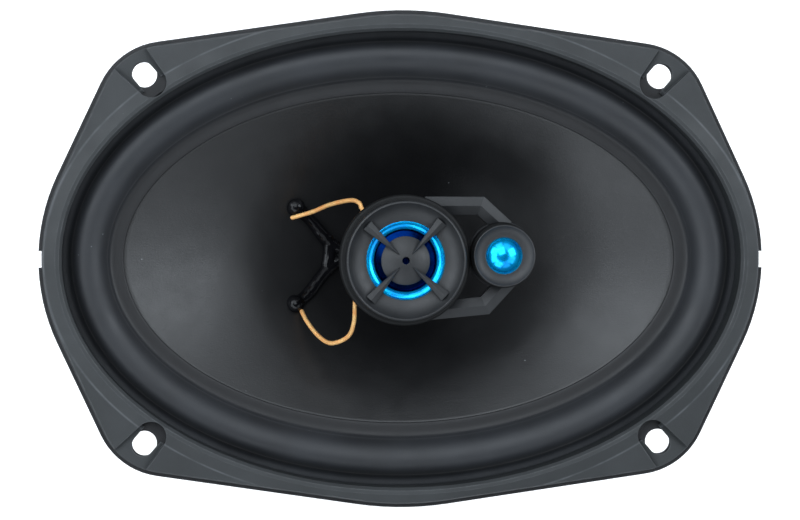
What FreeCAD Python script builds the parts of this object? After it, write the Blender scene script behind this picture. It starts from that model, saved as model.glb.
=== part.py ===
import FreeCAD, Part
import math
import os
import re

import Sketcher
from FreeCAD import Placement, Rotation, Vector

# A 6 x 9 inch three-way coaxial car speaker, in millimetres.
# +Z is the way it fires, X the long way and Y the short way of the oval.
# The origin is the centre of the flange's back face, the face that seats on the car's panel.

DIMENSIONS = {
    # steel flange
    "flange_half_length": 119.2,
    "flange_half_width": 81.7,
    "flange_thickness": 1.0,
    "flange_long_side_radius": 103.0,
    "flange_short_side_radius": 64.5,
    "flange_corner_radius": 24.0,
    "flange_long_side_angle": 8.3,
    "flange_short_side_angle": 25.2,
    "notch_width": 5.4,
    "notch_depth": 1.5,
    "hole_half_spacing_long": 84.6,
    "hole_half_spacing_wide": 60.2,
    "hole_radius": 4.05,
    "hole_slot_angle": 49.0,
    # basket below the flange
    "step_half_length": 114.1,
    "step_half_width": 77.4,
    "step_drop": 8.5,
    "ledge_half_length": 105.0,
    "ledge_half_width": 68.5,
    "bowl_half_length": 92.0,
    "bowl_half_width": 62.5,
    "bowl_drop": 28.0,
    "shelf_radius": 50.0,
    "shelf_drop": 47.0,
    "cup_radius": 41.0,
    "cup_drop": 58.0,
    "cup_hole_radius": 20.0,
    "window_top_drop": 13.0,
    "window_bottom_drop": 42.5,
    "window_corner_radius": 4.0,
    "tab_half_width": 9.0,
    "tab_reach": 73.0,
    "tab_rivet_radius": 1.5,
    "tab_rivet_y": 5.0,
    # plastic trim ring
    "trim_inset": 1.0,
    "trim_half_length": 111.6,
    "trim_half_width": 74.9,
    "trim_band": 6.0,
    "trim_crown": 5.6,
    "trim_crease": 4.5,
    "trim_far_height": 1.7,
    "trim_skirt": 1.3,
    "trim_skirt_drop": 6.5,
    "trim_draft": 12.0,
    "pocket_floor": 2.2,
    "pocket_end_radius": 5.0,
    "pocket_end_shift": 3.1,
    "pocket_mouth_half_width": 6.9,
    "trim_slot_half_width": 3.6,
    "trim_slot_end": 4.0,
    # half-roll surround
    "surround_thickness": 0.8,
    "roll_inner_gap": 15.3,
    "roll_width": 12.3,
    "roll_height": 5.6,
    "surround_inner_lip": 5.1,
    "surround_outer_lip": 3.6,
    # cone
    "cone_half_length": 91.2,
    "cone_half_width": 54.5,
    "cone_neck_radius": 13.15,
    "cone_neck_drop": 42.0,
    "cone_rim_drop": 9.5,
    "cone_thickness": 0.7,
    "cone_curve": 0.85,
    "cone_brim": 4.6,
    # motor
    "plate_radius": 46.0,
    "plate_hole_radius": 14.2,
    "plate_thickness": 6.0,
    "steel_bevel": 0.8,
    "magnet_radius": 47.5,
    "magnet_hole_radius": 22.0,
    "magnet_thickness": 16.0,
    "magnet_bevel": 1.2,
    "yoke_radius": 45.0,
    "yoke_thickness": 5.5,
    "pole_radius": 12.45,
    "pole_bore_radius": 5.1,
    "counterbore_radius": 9.5,
    "rivet_circle": 31.0,
    "rivet_radius": 2.0,
    "rivet_head_radius": 3.4,
    "rivet_head_edge": 0.4,
    "rivet_head_rise": 1.0,
    # voice coil and spider
    "former_inner_radius": 12.85,
    "former_outer_radius": 13.05,
    "former_bottom_drop": 67.6,
    "former_top_drop": 40.5,
    "winding_outer_radius": 13.75,
    "winding_height": 13.0,
    "spider_thickness": 0.5,
    "spider_pitch": 2.6,
    "spider_wave_radius": 1.9,
    "spider_first_wave": 15.0,
    "spider_outer_radius": 49.5,
    # tweeter pod
    "tweeter_clock": 2.7,
    "post_radius": 9.0,
    "post_flange_radius": 14.0,
    "post_flange_thickness": 2.4,
    "post_foot_drop": 72.0,
    "post_thread_depth": 16.0,
    "post_chamber_radius": 5.4,
    "post_chamber_floor": 26.0,
    "bolt_radius": 2.5,
    "bolt_length": 26.0,
    "bolt_head_radius": 4.4,
    "bolt_head_height": 3.2,
    "washer_thickness": 1.0,
    "screw_circle": 11.5,
    "screw_radius": 1.1,
    "screw_length": 7.3,
    "screw_head_radius": 2.0,
    "screw_head_height": 1.5,
    "bridge_radius": 20.0,
    "bridge_top": 5.0,
    "bridge_thickness": 2.5,
    "arm_half_width": 3.0,
    "arm_base": 0.5,
    "arm_eave": 3.2,
    "arm_ridge": 4.4,
    "arm_start": 8.0,
    "arm_offset": 17.3,
    "arm_bend": 26.3,
    "arm_bend_offset": 16.4,
    "arm_end": 34.2,
    "arm_end_offset": 8.5,
    "seat_radius": 11.0,
    "pod_radius": 21.4,
    "pod_height": 5.45,
    "pod_wall_radius": 18.0,
    "pod_floor": 1.0,
    "tweeter_face": 17.0,
    "bezel_radius": 19.7,
    "bezel_mouth_radius": 12.9,
    "bezel_dish": 3.4,
    "plug_base": 2.0,
    "plug_radius": 8.0,
    "plug_crown_radius": 17.0,
    "plug_hole_radius": 1.25,
    "spoke_inner": 3.0,
    "spoke_outer": 17.2,
    "spoke_half_width": 1.85,
    "spoke_tip_half_width": 0.15,
    "blue_ring_inner_radius": 10.3,
    "small_yoke_radius": 13.5,
    "small_yoke_height": 3.8,
    "small_magnet_height": 1.85,
    "small_coil_radius": 9.85,
    "small_coil_height": 2.75,
    "diaphragm_base": 10.4,
    "diaphragm_radius": 13.2,
    "diaphragm_film": 0.25,
    "diaphragm_dome_radius": 9.7,
    "diaphragm_dome_rise": 1.15,
    "capacitor_radius": 5.0,
    "capacitor_height": 16.0,
    "capacitor_drop": 32.0,
    "super_offset": 32.4,
    "super_face": 13.5,
    "super_radius": 10.2,
    "super_height": 7.9,
    "super_wall_radius": 8.9,
    "super_mouth_radius": 6.05,
    "dome_radius": 5.3,
    "dome_height": 2.1,
    "piezo_radius": 8.4,
    "piezo_thickness": 0.2,
    "piezo_ceramic_radius": 5.5,
    # leads
    "eyelet_x": 33.7,
    "eyelet_y": 16.2,
    "eyelet_hole_radius": 1.25,
    "eyelet_head_radius": 2.2,
    "eyelet_tail": 2.0,
    "eyelet_height": 4.3,
    "lead_radius": 0.75,
    "tag_angle_upper": 128.0,
    "tag_angle_lower": 222.0,
    "tag_radius": 18.4,
    "tag_half_width": 1.7,
    "tag_thickness": 0.5,
    "glue_radius": 2.3,
    "glue_blob_radius": 3.2,
    "glue_web_x": 22.0,
    # terminals
    "board_thickness": 1.6,
    "board_half_length": 7.0,
    "board_half_width": 17.0,
    "board_centre": 67.0,
    "terminal_y": 11.5,
    "pin_radius": 1.2,
    "blade_reach": 6.0,
    "blade_drop": 10.0,
    "blade_thickness": 0.8,
    "positive_blade_width": 6.3,
    "negative_blade_width": 4.8,
    # fits between separate pieces
    "gap": 0.05,
}

doc = FreeCAD.newDocument("coaxial_speaker")


# ---------------------------------------------------------------- sheet and expressions

def fill_sheet():
    """Writes every driving dimension to the spreadsheet, under its own name."""
    made = doc.addObject("Spreadsheet::Sheet", "dims")
    for row, (name, amount) in enumerate(DIMENSIONS.items(), start=1):
        made.set(f"A{row}", name)
        made.set(f"B{row}", str(amount))
        made.setAlias(f"B{row}", name)
    doc.recompute()
    return made


sheet = fill_sheet()


def linked(expression):
    """The expression with each dimension's name pointing at its cell."""
    def cell(word):
        return "dims." + word.group() if word.group() in DIMENSIONS else word.group()
    return re.sub(r"[a-z][a-z_]*", cell, str(expression))


def number(expression):
    """What an expression of dimension names comes to now."""
    return float(sheet.evalExpression(linked(expression)))


def bind(thing, prop, expression):
    thing.setExpression(prop, linked(expression))


def place(thing, x="0", y="0", z="0", turn="0"):
    """Binds where a piece stands, and its turn in degrees about the vertical."""
    spot = Vector(number(x), number(y), number(z))
    thing.Placement = Placement(spot, Rotation(Vector(0, 0, 1), number(turn)))
    bind(thing, "Placement.Base.x", x)
    bind(thing, "Placement.Base.y", y)
    bind(thing, "Placement.Base.z", z)
    if str(turn) != "0":
        bind(thing, "Placement.Rotation.Angle", turn)
    return thing


# ---------------------------------------------------------------- sketches

def sketch_on(body, role, name):
    """A new sketch on one of the body's own origin planes."""
    plane = next(feature for feature in body.Origin.OriginFeatures if feature.Role == role)
    sketch = body.newObject("Sketcher::SketchObject", name)
    sketch.AttachmentSupport = [(plane, "")]
    sketch.MapMode = "FlatFace"
    return sketch


def constrain(sketch, *parts, expression=None):
    """Adds one constraint, and binds its value when an expression is given."""
    index = sketch.addConstraint(Sketcher.Constraint(*parts))
    if expression is not None:
        bind(sketch, f"Constraints[{index}]", expression)


def arc_between(start, end, bend):
    """The short arc from start to end. A positive bend turns left, a negative one turns right."""
    half = (end - start) / 2
    left = Vector(-half.y, half.x, 0).normalize()
    rise = math.sqrt(max(bend ** 2 - half.Length ** 2, 0))
    centre = start + half + left * math.copysign(rise, bend)
    circle = Part.Circle(centre, Vector(0, 0, 1), abs(bend))
    first, last = (start, end) if bend > 0 else (end, start)
    angles = [math.atan2(p.y - centre.y, p.x - centre.x) for p in (first, last)]
    return Part.ArcOfCircle(circle, *angles)


def closed_outline(sketch, corners):
    """Draws a closed outline. A corner is (x, y), or (x, y, bend) where the edge that leaves it is an arc."""
    count = len(corners)
    points = [Vector(number(corner[0]), number(corner[1]), 0) for corner in corners]
    ends = []
    for i, corner in enumerate(corners):
        start, end = points[i], points[(i + 1) % count]
        bend = number(corner[2]) if len(corner) > 2 else None
        if bend is None:
            sketch.addGeometry(Part.LineSegment(start, end))
        else:
            sketch.addGeometry(arc_between(start, end, bend))
        ends.append((2, 1) if bend is not None and bend < 0 else (1, 2))
    for i in range(count):
        following = (i + 1) % count
        constrain(sketch, "Coincident", i, ends[i][1], following, ends[following][0])
    for i, corner in enumerate(corners):
        for along, across, part in (("DistanceX", -2, 0), ("DistanceY", -1, 1)):
            if str(corner[part]) == "0":
                constrain(sketch, "PointOnObject", i, ends[i][0], across)
            else:
                value = points[i][part]
                constrain(sketch, along, i, ends[i][0], value, expression=corner[part])
        if len(corner) > 2:
            bend = number(corner[2])
            sign = "" if bend > 0 else "-"
            constrain(sketch, "Radius", i, abs(bend), expression=f"{sign}({corner[2]})")


# ---------------------------------------------------------------- solids

def turned(name, base, profile, x="0", y="0"):
    """A piece turned on a lathe about a vertical axis at x, y. The profile's corners are (radius, height)."""
    body = doc.addObject("PartDesign::Body", name)
    sketch = sketch_on(body, "XZ_Plane", name + "_profile")
    closed_outline(sketch, profile)
    spin = body.newObject("PartDesign::Revolution", name + "_spin")
    spin.Profile = sketch
    spin.ReferenceAxis = (sketch, ["V_Axis"])
    spin.Angle = 360
    return place(body, x, y, base)


def tube(name, outer, inner, base, height, x="0", y="0"):
    """A plain tube, or a disc when inner is 0."""
    return turned(name, base, [(inner, "0"), (outer, "0"), (outer, height), (inner, height)], x, y)


def cut_from_sheet(name, corners, base, thickness, x="0", y="0", turn="0"):
    """A flat piece of constant thickness with a closed outline."""
    body = doc.addObject("PartDesign::Body", name)
    sketch = sketch_on(body, "XY_Plane", name + "_outline")
    closed_outline(sketch, corners)
    pad = body.newObject("PartDesign::Pad", name + "_pad")
    pad.Profile = sketch
    bind(pad, "Length", thickness)
    return place(body, x, y, base, turn)


def rectangle(x0, x1, y0, y1):
    return [(x0, y0), (x1, y0), (x1, y1), (x0, y1)]


def ellipse(name, half_length, half_width, height):
    ring = doc.addObject("Part::Ellipse", name)
    bind(ring, "MajorRadius", half_length)
    bind(ring, "MinorRadius", half_width)
    return place(ring, z=height)


def lofted(name, rings, ruled=True):
    """A solid through a stack of ellipses, each (half length, half width, height)."""
    loft = doc.addObject("Part::Loft", name)
    loft.Sections = [ellipse(f"{name}_ring{i}", *ring) for i, ring in enumerate(rings)]
    loft.Solid = True
    loft.Ruled = ruled
    return loft


def oval_block(name, half_length, half_width, low, high):
    return lofted(name, [(half_length, half_width, low), (half_length, half_width, high)])


def cut(name, base, tool):
    result = doc.addObject("Part::Cut", name)
    result.Base = base
    result.Tool = tool
    return result


def common(name, base, tool):
    result = doc.addObject("Part::Common", name)
    result.Base = base
    result.Tool = tool
    return result


def fused(name, pieces):
    result = doc.addObject("Part::MultiFuse", name)
    result.Shapes = pieces
    result.Refine = True
    return result


def grouped(name, pieces):
    """Separate solids that share one node, such as a set of rivets."""
    result = doc.addObject("Part::Compound", name)
    result.Links = pieces
    return result


def shaped(name, shape, x="0", y="0", z="0", turn="0"):
    """A piece whose shape is computed here from the sheet's sizes."""
    piece = doc.addObject("Part::Feature", name)
    piece.Shape = shape
    return place(piece, x, y, z, turn)


def cap_bend(radius, rise):
    """Radius of the arc that crosses the axis level, for a dome of this base radius and rise."""
    return f"(({radius}) ^ 2 + ({rise}) ^ 2) / (2 * ({rise}))"


def polar(radius, angle):
    """Expressions for a point at a radius and an angle in degrees."""
    return f"({radius}) * cos({angle})", f"({radius}) * sin({angle})"


def smooth_pipe(points, radius):
    """A round wire along a smooth curve through the points."""
    curve = Part.BSplineCurve()
    curve.interpolate(points)
    spine = Part.Wire([curve.toShape()])
    heading = curve.tangent(curve.FirstParameter)[0]
    section = Part.Wire([Part.makeCircle(radius, points[0], heading)])
    return spine.makePipeShell([section], True, False)


# ---------------------------------------------------------------- basket

RIVET_TURNS = (45, 135, 225, 315)


def flange_corners(inset):
    """The flange's eight-sided oval, drawn in by the inset: side and corner arcs with straights between."""
    length = f"(flange_half_length - ({inset}))"
    width = f"(flange_half_width - ({inset}))"
    long_arc = f"(flange_long_side_radius - ({inset}))"
    short_arc = f"(flange_short_side_radius - ({inset}))"
    corner_arc = f"(flange_corner_radius - ({inset}))"
    slope = "flange_long_side_angle"
    lean = "flange_short_side_angle"
    # how far out the two straights of a quarter lie, less the corner's radius, and where they put its centre
    out_long = f"(({width} - {long_arc}) * cos({slope}) + {long_arc} - {corner_arc})"
    out_short = f"(({length} - {short_arc}) * cos({lean}) + {short_arc} - {corner_arc})"
    centre_x = f"({out_short} * cos({slope}) - {out_long} * sin({lean})) / cos({slope} + {lean})"
    centre_y = f"({out_long} * cos({lean}) - {out_short} * sin({slope})) / cos({slope} + {lean})"
    side = (f"{length} - {short_arc} * (1 - cos({lean}))", f"{short_arc} * sin({lean})")
    low = (f"{centre_x} + {corner_arc} * cos({lean})", f"{centre_y} + {corner_arc} * sin({lean})")
    high = (f"{centre_x} + {corner_arc} * sin({slope})", f"{centre_y} + {corner_arc} * cos({slope})")
    top = (f"{long_arc} * sin({slope})", f"{width} - {long_arc} * (1 - cos({slope}))")

    def quarter(sign_x, sign_y, stations):
        return [(f"{sign_x} * ({x})", f"{sign_y} * ({y})", *bend) for (x, y), *bend in stations]

    rising = [(side,), (low, corner_arc), (high,), (top, long_arc)]
    falling = [(top,), (high, corner_arc), (low,), (side, short_arc)]
    return (quarter(1, 1, rising) + quarter(-1, 1, falling)
            + quarter(-1, -1, rising) + quarter(1, -1, falling))


def flange_plate(name, inset, base, thickness, draft=None):
    """A plate with the flange's outline. Its edge may lean inwards by the draft angle."""
    body = cut_from_sheet(name, flange_corners(inset), base, thickness)
    if draft:
        bind(body.Tip, "TaperAngle", f"-({draft})")
    return body


def hole_places():
    """The four mounting holes: centre, and the way each slot points, outwards to its corner."""
    angles = {(1, 1): "hole_slot_angle", (-1, 1): "180 - hole_slot_angle",
              (-1, -1): "180 + hole_slot_angle", (1, -1): "-hole_slot_angle"}
    for (sign_x, sign_y), angle in angles.items():
        yield f"{sign_x} * hole_half_spacing_long", f"{sign_y} * hole_half_spacing_wide", angle


def basket_windows():
    """Eight round-cornered openings between the basket's legs, wide at the top and narrow at the bottom."""
    # bearing from the long axis in degrees, half width at the top and half width at the bottom
    spans = {"end": (24, 19, 11), "side": (67, 17, 11)}
    height = "window_bottom_drop - window_top_drop"
    windows = []
    for kind, (angle, top, bottom) in spans.items():
        for index, turn in enumerate((angle, 180 - angle, 180 + angle, -angle)):
            name = f"window_{kind}_{index}"
            body = doc.addObject("PartDesign::Body", name)
            sketch = sketch_on(body, "YZ_Plane", name + "_outline")
            closed_outline(sketch, [(-bottom, "0"), (bottom, "0"), (top, height), (-top, height)])
            pad = body.newObject("PartDesign::Pad", name + "_pad")
            pad.Profile = sketch
            bind(pad, "Length", "flange_half_length")
            doc.recompute()
            edges = [f"Edge{i}" for i, edge in enumerate(pad.Shape.Edges, start=1)
                     if abs(edge.tangentAt(edge.FirstParameter).x) > 0.9]
            rounded = body.newObject("PartDesign::Fillet", name + "_corners")
            rounded.Base = (pad, edges)
            bind(rounded, "Radius", "window_corner_radius")
            start = polar("post_radius", turn)
            windows.append(place(body, start[0], start[1], "-window_bottom_drop", str(turn)))
    return windows


def basket():
    """Pressed steel basket: flange, step, ledge, legs, spider shelf, cup and terminal tab in one sheet."""
    sheet_metal = "flange_thickness"
    outside = fused("basket_outside", [
        flange_plate("basket_flange", "0", "0", sheet_metal),
        oval_block("basket_step", "step_half_length", "step_half_width", "-step_drop", f"{sheet_metal} / 2"),
        lofted("basket_bowl", [
            (f"ledge_half_length + {sheet_metal}", f"ledge_half_width + {sheet_metal}", "-step_drop + 0.4"),
            (f"bowl_half_length + {sheet_metal}", f"bowl_half_width + {sheet_metal}", "-bowl_drop"),
            (f"shelf_radius + {sheet_metal}", f"shelf_radius + {sheet_metal}", "-shelf_drop"),
        ]),
        tube("basket_cup", f"cup_radius + {sheet_metal}", "0", "-cup_drop", "cup_drop - shelf_drop + 1"),
        cut_from_sheet("basket_tab",
                       rectangle("-tab_reach", "-cup_radius - 2", "-tab_half_width", "tab_half_width"),
                       "-shelf_drop", sheet_metal),
    ])
    inside = fused("basket_inside", [
        oval_block("step_inside", f"step_half_length - {sheet_metal}", f"step_half_width - {sheet_metal}",
                   f"-step_drop + {sheet_metal}", "3 * flange_thickness"),
        lofted("bowl_inside", [
            ("ledge_half_length", "ledge_half_width", f"-step_drop + 1.5 * {sheet_metal}"),
            ("bowl_half_length", "bowl_half_width", f"-bowl_drop + {sheet_metal} / 2"),
            ("shelf_radius", "shelf_radius", f"-shelf_drop + {sheet_metal}"),
        ]),
        tube("cup_inside", "cup_radius", "0", f"-cup_drop + {sheet_metal}", "cup_drop - shelf_drop + 5"),
        tube("cup_hole", "cup_hole_radius", "0", "-cup_drop - 5", "20"),
    ])
    openings = basket_windows()
    for index, (x, y, _) in enumerate(hole_places()):
        openings.append(tube(f"flange_hole_{index}", "hole_radius", "0", "-5", "10", x, y))
    for index, sign in enumerate((1, -1)):
        corners = rectangle("-notch_depth", "notch_depth", "-notch_width / 2", "notch_width / 2")
        openings.append(cut_from_sheet(f"flange_notch_{index}", corners, "-1", "4",
                                       f"{sign} * flange_half_length"))
    for index, turn in enumerate(RIVET_TURNS):
        x, y = polar("rivet_circle", turn)
        openings.append(tube(f"cup_rivet_hole_{index}", "rivet_radius + gap", "0", "-cup_drop - 1", "4",
                             x, y))
    for index, sign in enumerate((1, -1)):
        openings.append(tube(f"tab_rivet_hole_{index}", "tab_rivet_radius + gap", "0", "-shelf_drop - 1", "4",
                             "-board_centre + 1", f"{sign} * tab_rivet_y"))
    return cut("basket", cut("basket_shell", outside, inside), fused("basket_openings", openings))


# ---------------------------------------------------------------- trim ring

def trim_ring():
    """Moulded ring over the flange: oval band, four ears falling away to the corners, and screw pockets."""
    dome = lofted("trim_dome", [
        ("trim_half_length + 40", "trim_half_width + 40", "0"),
        ("trim_half_length + 40", "trim_half_width + 40", "trim_far_height"),
        ("trim_half_length + trim_band", "trim_half_width + trim_band", "trim_crease"),
        ("trim_half_length + 2.2", "trim_half_width + 2.2", "trim_crown"),
        ("trim_half_length + 1.0", "trim_half_width + 1.0", "trim_crown - 0.1"),
        ("trim_half_length - 0.8", "trim_half_width - 0.8", "trim_crown - 1.6"),
    ])
    plate = flange_plate("trim_plate", "trim_inset", "flange_thickness + gap", "2 * trim_crown", "trim_draft")
    skirt = oval_block("trim_skirt_outside", "trim_half_length + trim_skirt", "trim_half_width + trim_skirt",
                       "-trim_skirt_drop", "trim_crease - 1")
    opening = oval_block("trim_opening", "trim_half_length", "trim_half_width", "-20", "20")
    tools = [opening]
    end = "trim_slot_end"
    half = "trim_slot_half_width"
    radius = "pocket_end_radius"
    shift = "pocket_end_shift"
    chord = f"sqrt({radius} ^ 2 - ({end} - {shift}) ^ 2)"
    tip = f"hole_radius + 0.4 - {half}"
    for index, (x, y, angle) in enumerate(hole_places()):
        pocket = [
            (f"-{shift}", f"{radius}", radius), (f"-{shift} - {radius}", "0", radius),
            (f"-{shift}", f"-{radius}"),
            ("22", "-pocket_mouth_half_width - 0.8"), ("22", "pocket_mouth_half_width + 0.8"),
        ]
        well = [
            (f"-{end}", f"-{half}"), (tip, f"-{half}", half), (f"{tip} + {half}", "0", half), (tip, half),
            (f"-{end}", half), (f"-{end}", chord, radius), (f"-{shift} - {radius}", "0", radius),
            (f"-{end}", f"-{chord}"),
        ]
        tools.append(cut_from_sheet(f"trim_pocket_{index}", pocket, "pocket_floor", "10", x, y, angle))
        tools.append(cut_from_sheet(f"trim_well_{index}", well, "-2", "20", x, y, angle))
    solid = fused("trim_solid", [common("trim_ears", plate, dome), skirt])
    return cut("trim_ring", solid, fused("trim_tools", tools))


# ---------------------------------------------------------------- moving system

def surround():
    """Rubber half roll between the basket's ledge and the cone, swept round the oval at constant width."""
    body = doc.addObject("PartDesign::Body", "surround")
    path = sketch_on(body, "XY_Plane", "surround_path")
    middle = "trim_half_length - roll_inner_gap + roll_width / 2"
    across = "trim_half_width - roll_inner_gap + roll_width / 2"
    path.addGeometry(Part.Ellipse(Vector(0, 0, 0), number(middle), number(across)))
    path.exposeInternalGeometry(0)
    constrain(path, "Coincident", 0, 3, -1, 1)
    constrain(path, "PointOnObject", 1, 1, -1)
    constrain(path, "Distance", 1, 2 * number(middle), expression=f"2 * ({middle})")
    constrain(path, "Distance", 2, 2 * number(across), expression=f"2 * ({across})")

    inner = f"({middle}) - roll_width / 2"
    outer = f"({middle}) + roll_width / 2"
    low = "-cone_rim_drop + gap"
    high = "-step_drop + flange_thickness + gap"
    thick = "surround_thickness"
    top = f"({high}) + roll_height"
    bend = "roll_width * 0.53"
    profile = sketch_on(body, "XZ_Plane", "surround_profile")
    closed_outline(profile, [
        (f"{inner} - surround_inner_lip", low),
        (inner + f" + {thick}", low, f"-({bend} - {thick})"),
        (middle, f"{top} - {thick}", f"-({bend} - {thick})"),
        (outer + f" - {thick}", high),
        (f"{outer} + surround_outer_lip", high),
        (f"{outer} + surround_outer_lip", f"{high} + {thick}"),
        (outer, f"{high} + {thick}", bend),
        (middle, top, bend),
        (inner, f"{low} + {thick}"),
        (f"{inner} - surround_inner_lip", f"{low} + {thick}"),
    ])
    sweep = body.newObject("PartDesign::AdditivePipe", "surround_sweep")
    sweep.Profile = profile
    sweep.Spine = (path, ["Edge1"])
    return place(body)


def cone_stack(name, lowered, levels=5):
    """The solid under a mouth-up cone surface, which flares from a round neck to the oval rim."""
    rings = []
    for level in range(levels):
        share = level / (levels - 1)
        rings.append((
            f"cone_neck_radius + (cone_half_length - cone_neck_radius) * {share}",
            f"cone_neck_radius + (cone_half_width - cone_neck_radius) * {share}",
            f"-cone_neck_drop + (cone_neck_drop - cone_rim_drop) * {share} ^ cone_curve - ({lowered})",
        ))
    return lofted(name, rings, ruled=False)


def cone(air):
    """Paper cone with a collar at its neck, a flat brim for the surround and two holes for the eyelets."""
    shell = cut("cone_shell", cone_stack("cone_fill", "cone_thickness"), air)
    brim = cut("cone_brim_ring",
               oval_block("brim_outside", "cone_half_length + cone_brim", "cone_half_width + cone_brim",
                          "-cone_rim_drop - cone_thickness - 0.3", "-cone_rim_drop"),
               oval_block("brim_inside", "cone_half_length - 0.5", "cone_half_width - 0.5",
                          "-cone_rim_drop - 5", "-cone_rim_drop + 5"))
    collar = tube("cone_collar", "cone_neck_radius + 0.6", "0", "-cone_neck_drop - 1.5",
                  "1.5 - cone_thickness / 2")
    holes = [tube("cone_neck_hole", "former_outer_radius + gap", "0", "-cone_neck_drop - 5", "10")]
    for index, sign in enumerate((1, -1)):
        holes.append(tube(f"cone_eyelet_hole_{index}", "eyelet_hole_radius", "0", "-cone_neck_drop", "30",
                          "-eyelet_x", f"{sign} * eyelet_y"))
    return cut("cone", fused("cone_sheet", [shell, brim, collar]), fused("cone_holes", holes))


def spider():
    """Corrugated cloth disc that centres the coil: an inner collar, ten half waves and a flat outer rim."""
    waves = 10
    low = "3"
    high = f"{low} + spider_thickness"
    inner = "former_outer_radius + gap"
    radii = [f"spider_first_wave + {index} * spider_pitch" for index in range(waves + 1)]
    bends = ["spider_wave_radius" if index % 2 else "-spider_wave_radius" for index in range(waves)]
    lower = [(radii[index], low, bends[index]) for index in range(waves)] + [(radii[-1], low)]
    upper = [(radii[index + 1], high, f"-({bends[index]})") for index in reversed(range(waves))]
    rim = [("spider_outer_radius", low), ("spider_outer_radius", high)]
    wall = f"{inner} + spider_thickness"
    collar = [(radii[0], high), (wall, high), (wall, f"{low} + 2"), (inner, f"{low} + 2")]
    profile = [(inner, low)] + lower + rim + upper + collar
    return turned("spider", f"-shelf_drop + flange_thickness + gap - {low}", profile)


def cone_point(x, y, above="0"):
    """The point of the cone's face over x, y, found by halving the range of shares from neck to rim."""
    x, y = number(x), number(y)
    neck = number("cone_neck_radius")
    long_reach = number("cone_half_length") - neck
    wide_reach = number("cone_half_width") - neck
    low, high = 0.0, 1.0
    for _ in range(30):
        share = (low + high) / 2
        outside = (x / (neck + long_reach * share)) ** 2 + (y / (neck + wide_reach * share)) ** 2 > 1
        low, high = (share, high) if outside else (low, share)
    height = number(f"-cone_neck_drop + (cone_neck_drop - cone_rim_drop) * {share} ^ cone_curve + {above}")
    return Vector(x, y, height)


def voice_coil():
    """Coil former with its winding, both hung from the cone's neck in the magnet's gap."""
    former = tube("voice_coil_former", "former_outer_radius", "former_inner_radius", "-former_bottom_drop",
                  "former_bottom_drop - former_top_drop")
    winding = tube("voice_coil_winding", "winding_outer_radius", "former_outer_radius + gap",
                   "-former_bottom_drop + 0.1", "winding_height")
    return [former, winding]


def eyelet(name, sign):
    """Hollow brass rivet through the cone, where a rear lead, a front lead and the coil's wire meet."""
    head = "eyelet_head_radius"
    bore = "eyelet_hole_radius / 2"
    shank = "eyelet_hole_radius - gap"
    reach = "eyelet_height - 0.4"
    base = f"{cone_point('-eyelet_x', 'eyelet_y').z} - cone_thickness - eyelet_tail"
    return turned(name, base, [
        (bore, "0"), (f"{head} - 0.1", "0"), (f"{head} - 0.1", "0.35"), (shank, "0.7"), (shank, reach),
        (head, reach), (head, "eyelet_height"), (bore, "eyelet_height"),
    ], "-eyelet_x", f"{sign} * eyelet_y")


def lead_glue(air, eyelets):
    """Black glue on the cone's face: a blob round each eyelet, a ridge from each to the neck, and a web."""
    beads = []
    for sign in (1, -1):
        x, y = "-eyelet_x", f"{sign} * eyelet_y"
        route = [
            cone_point(x, y),
            cone_point("-eyelet_x * 0.78", f"{sign} * eyelet_y * 0.56"),
            cone_point("-cone_neck_radius * 1.45", f"{sign} * 2.2"),
            cone_point("-cone_neck_radius - 1.2", f"{sign} * 1.0"),
        ]
        beads.append(smooth_pipe(route, number("glue_radius")))
        beads.append(Part.makeSphere(number("glue_blob_radius"), cone_point(x, y, "0.2")))
    web = [
        cone_point("-glue_web_x - 1", "6.5"),
        cone_point("-glue_web_x", "1.5"),
        cone_point("-glue_web_x - 1", "-4"),
    ]
    beads.append(smooth_pipe(web, number("glue_radius")))
    bead = shaped("glue_bead", beads[0].multiFuse(beads[1:]))
    sockets = [tube(f"glue_socket_{index}", "eyelet_head_radius + gap", "0", str(piece.Placement.Base.z),
                    "eyelet_height + gap", "-eyelet_x", f"{sign} * eyelet_y")
               for index, (piece, sign) in enumerate(zip(eyelets, (1, -1)))]
    return cut("lead_glue", common("glue_on_cone", bead, air), fused("glue_sockets", sockets))


def front_lead(name, sign, start_offset, tag_angle, bulge):
    """Braided wire from an eyelet on the moving cone up to its tag under the tweeter, in a slack loop."""
    eye = cone_point("-eyelet_x", f"{sign} * eyelet_y")
    start = eye + Vector(*start_offset)
    end = Vector(*(number(part) for part in polar("tag_radius + 1.4", tag_angle)),
                 number(f"{BRIDGE_BASE} - gap - tag_thickness - lead_radius - 0.2"))
    steps = 5
    points = []
    for step in range(steps + 1):
        share = step / steps
        side = Vector(0, bulge * math.sin(math.pi * share), 0)
        points.append(start + (end - start) * share + side)
    return shaped(name, smooth_pipe(points, number("lead_radius")))


def rear_lead(name, sign):
    """Braided wire from the back of an eyelet, out between two legs, to a terminal's pin on the board."""
    eye = cone_point("-eyelet_x", "eyelet_y")
    pin_x, pin_y = number("-board_centre + 0.5"), sign * number("terminal_y")
    board_top = number("-shelf_drop - gap")
    window_y = sign * (number("eyelet_y") + 4.5)
    points = [
        Vector(eye.x, sign * eye.y, eye.z - number("cone_thickness + eyelet_tail") - 0.9),
        Vector(eye.x - 5, sign * eye.y * 1.06, eye.z - 7.5),
        Vector(eye.x - 15, window_y, eye.z - 10),
        Vector(eye.x - 27, window_y, eye.z - 11.5),
        Vector(pin_x - 0.5, sign * (abs(pin_y) + 3), board_top + 4.5),
        Vector(pin_x, pin_y, board_top + 1.0),
    ]
    return shaped(name, smooth_pipe(points, number("lead_radius")))


# ---------------------------------------------------------------- motor

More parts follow.
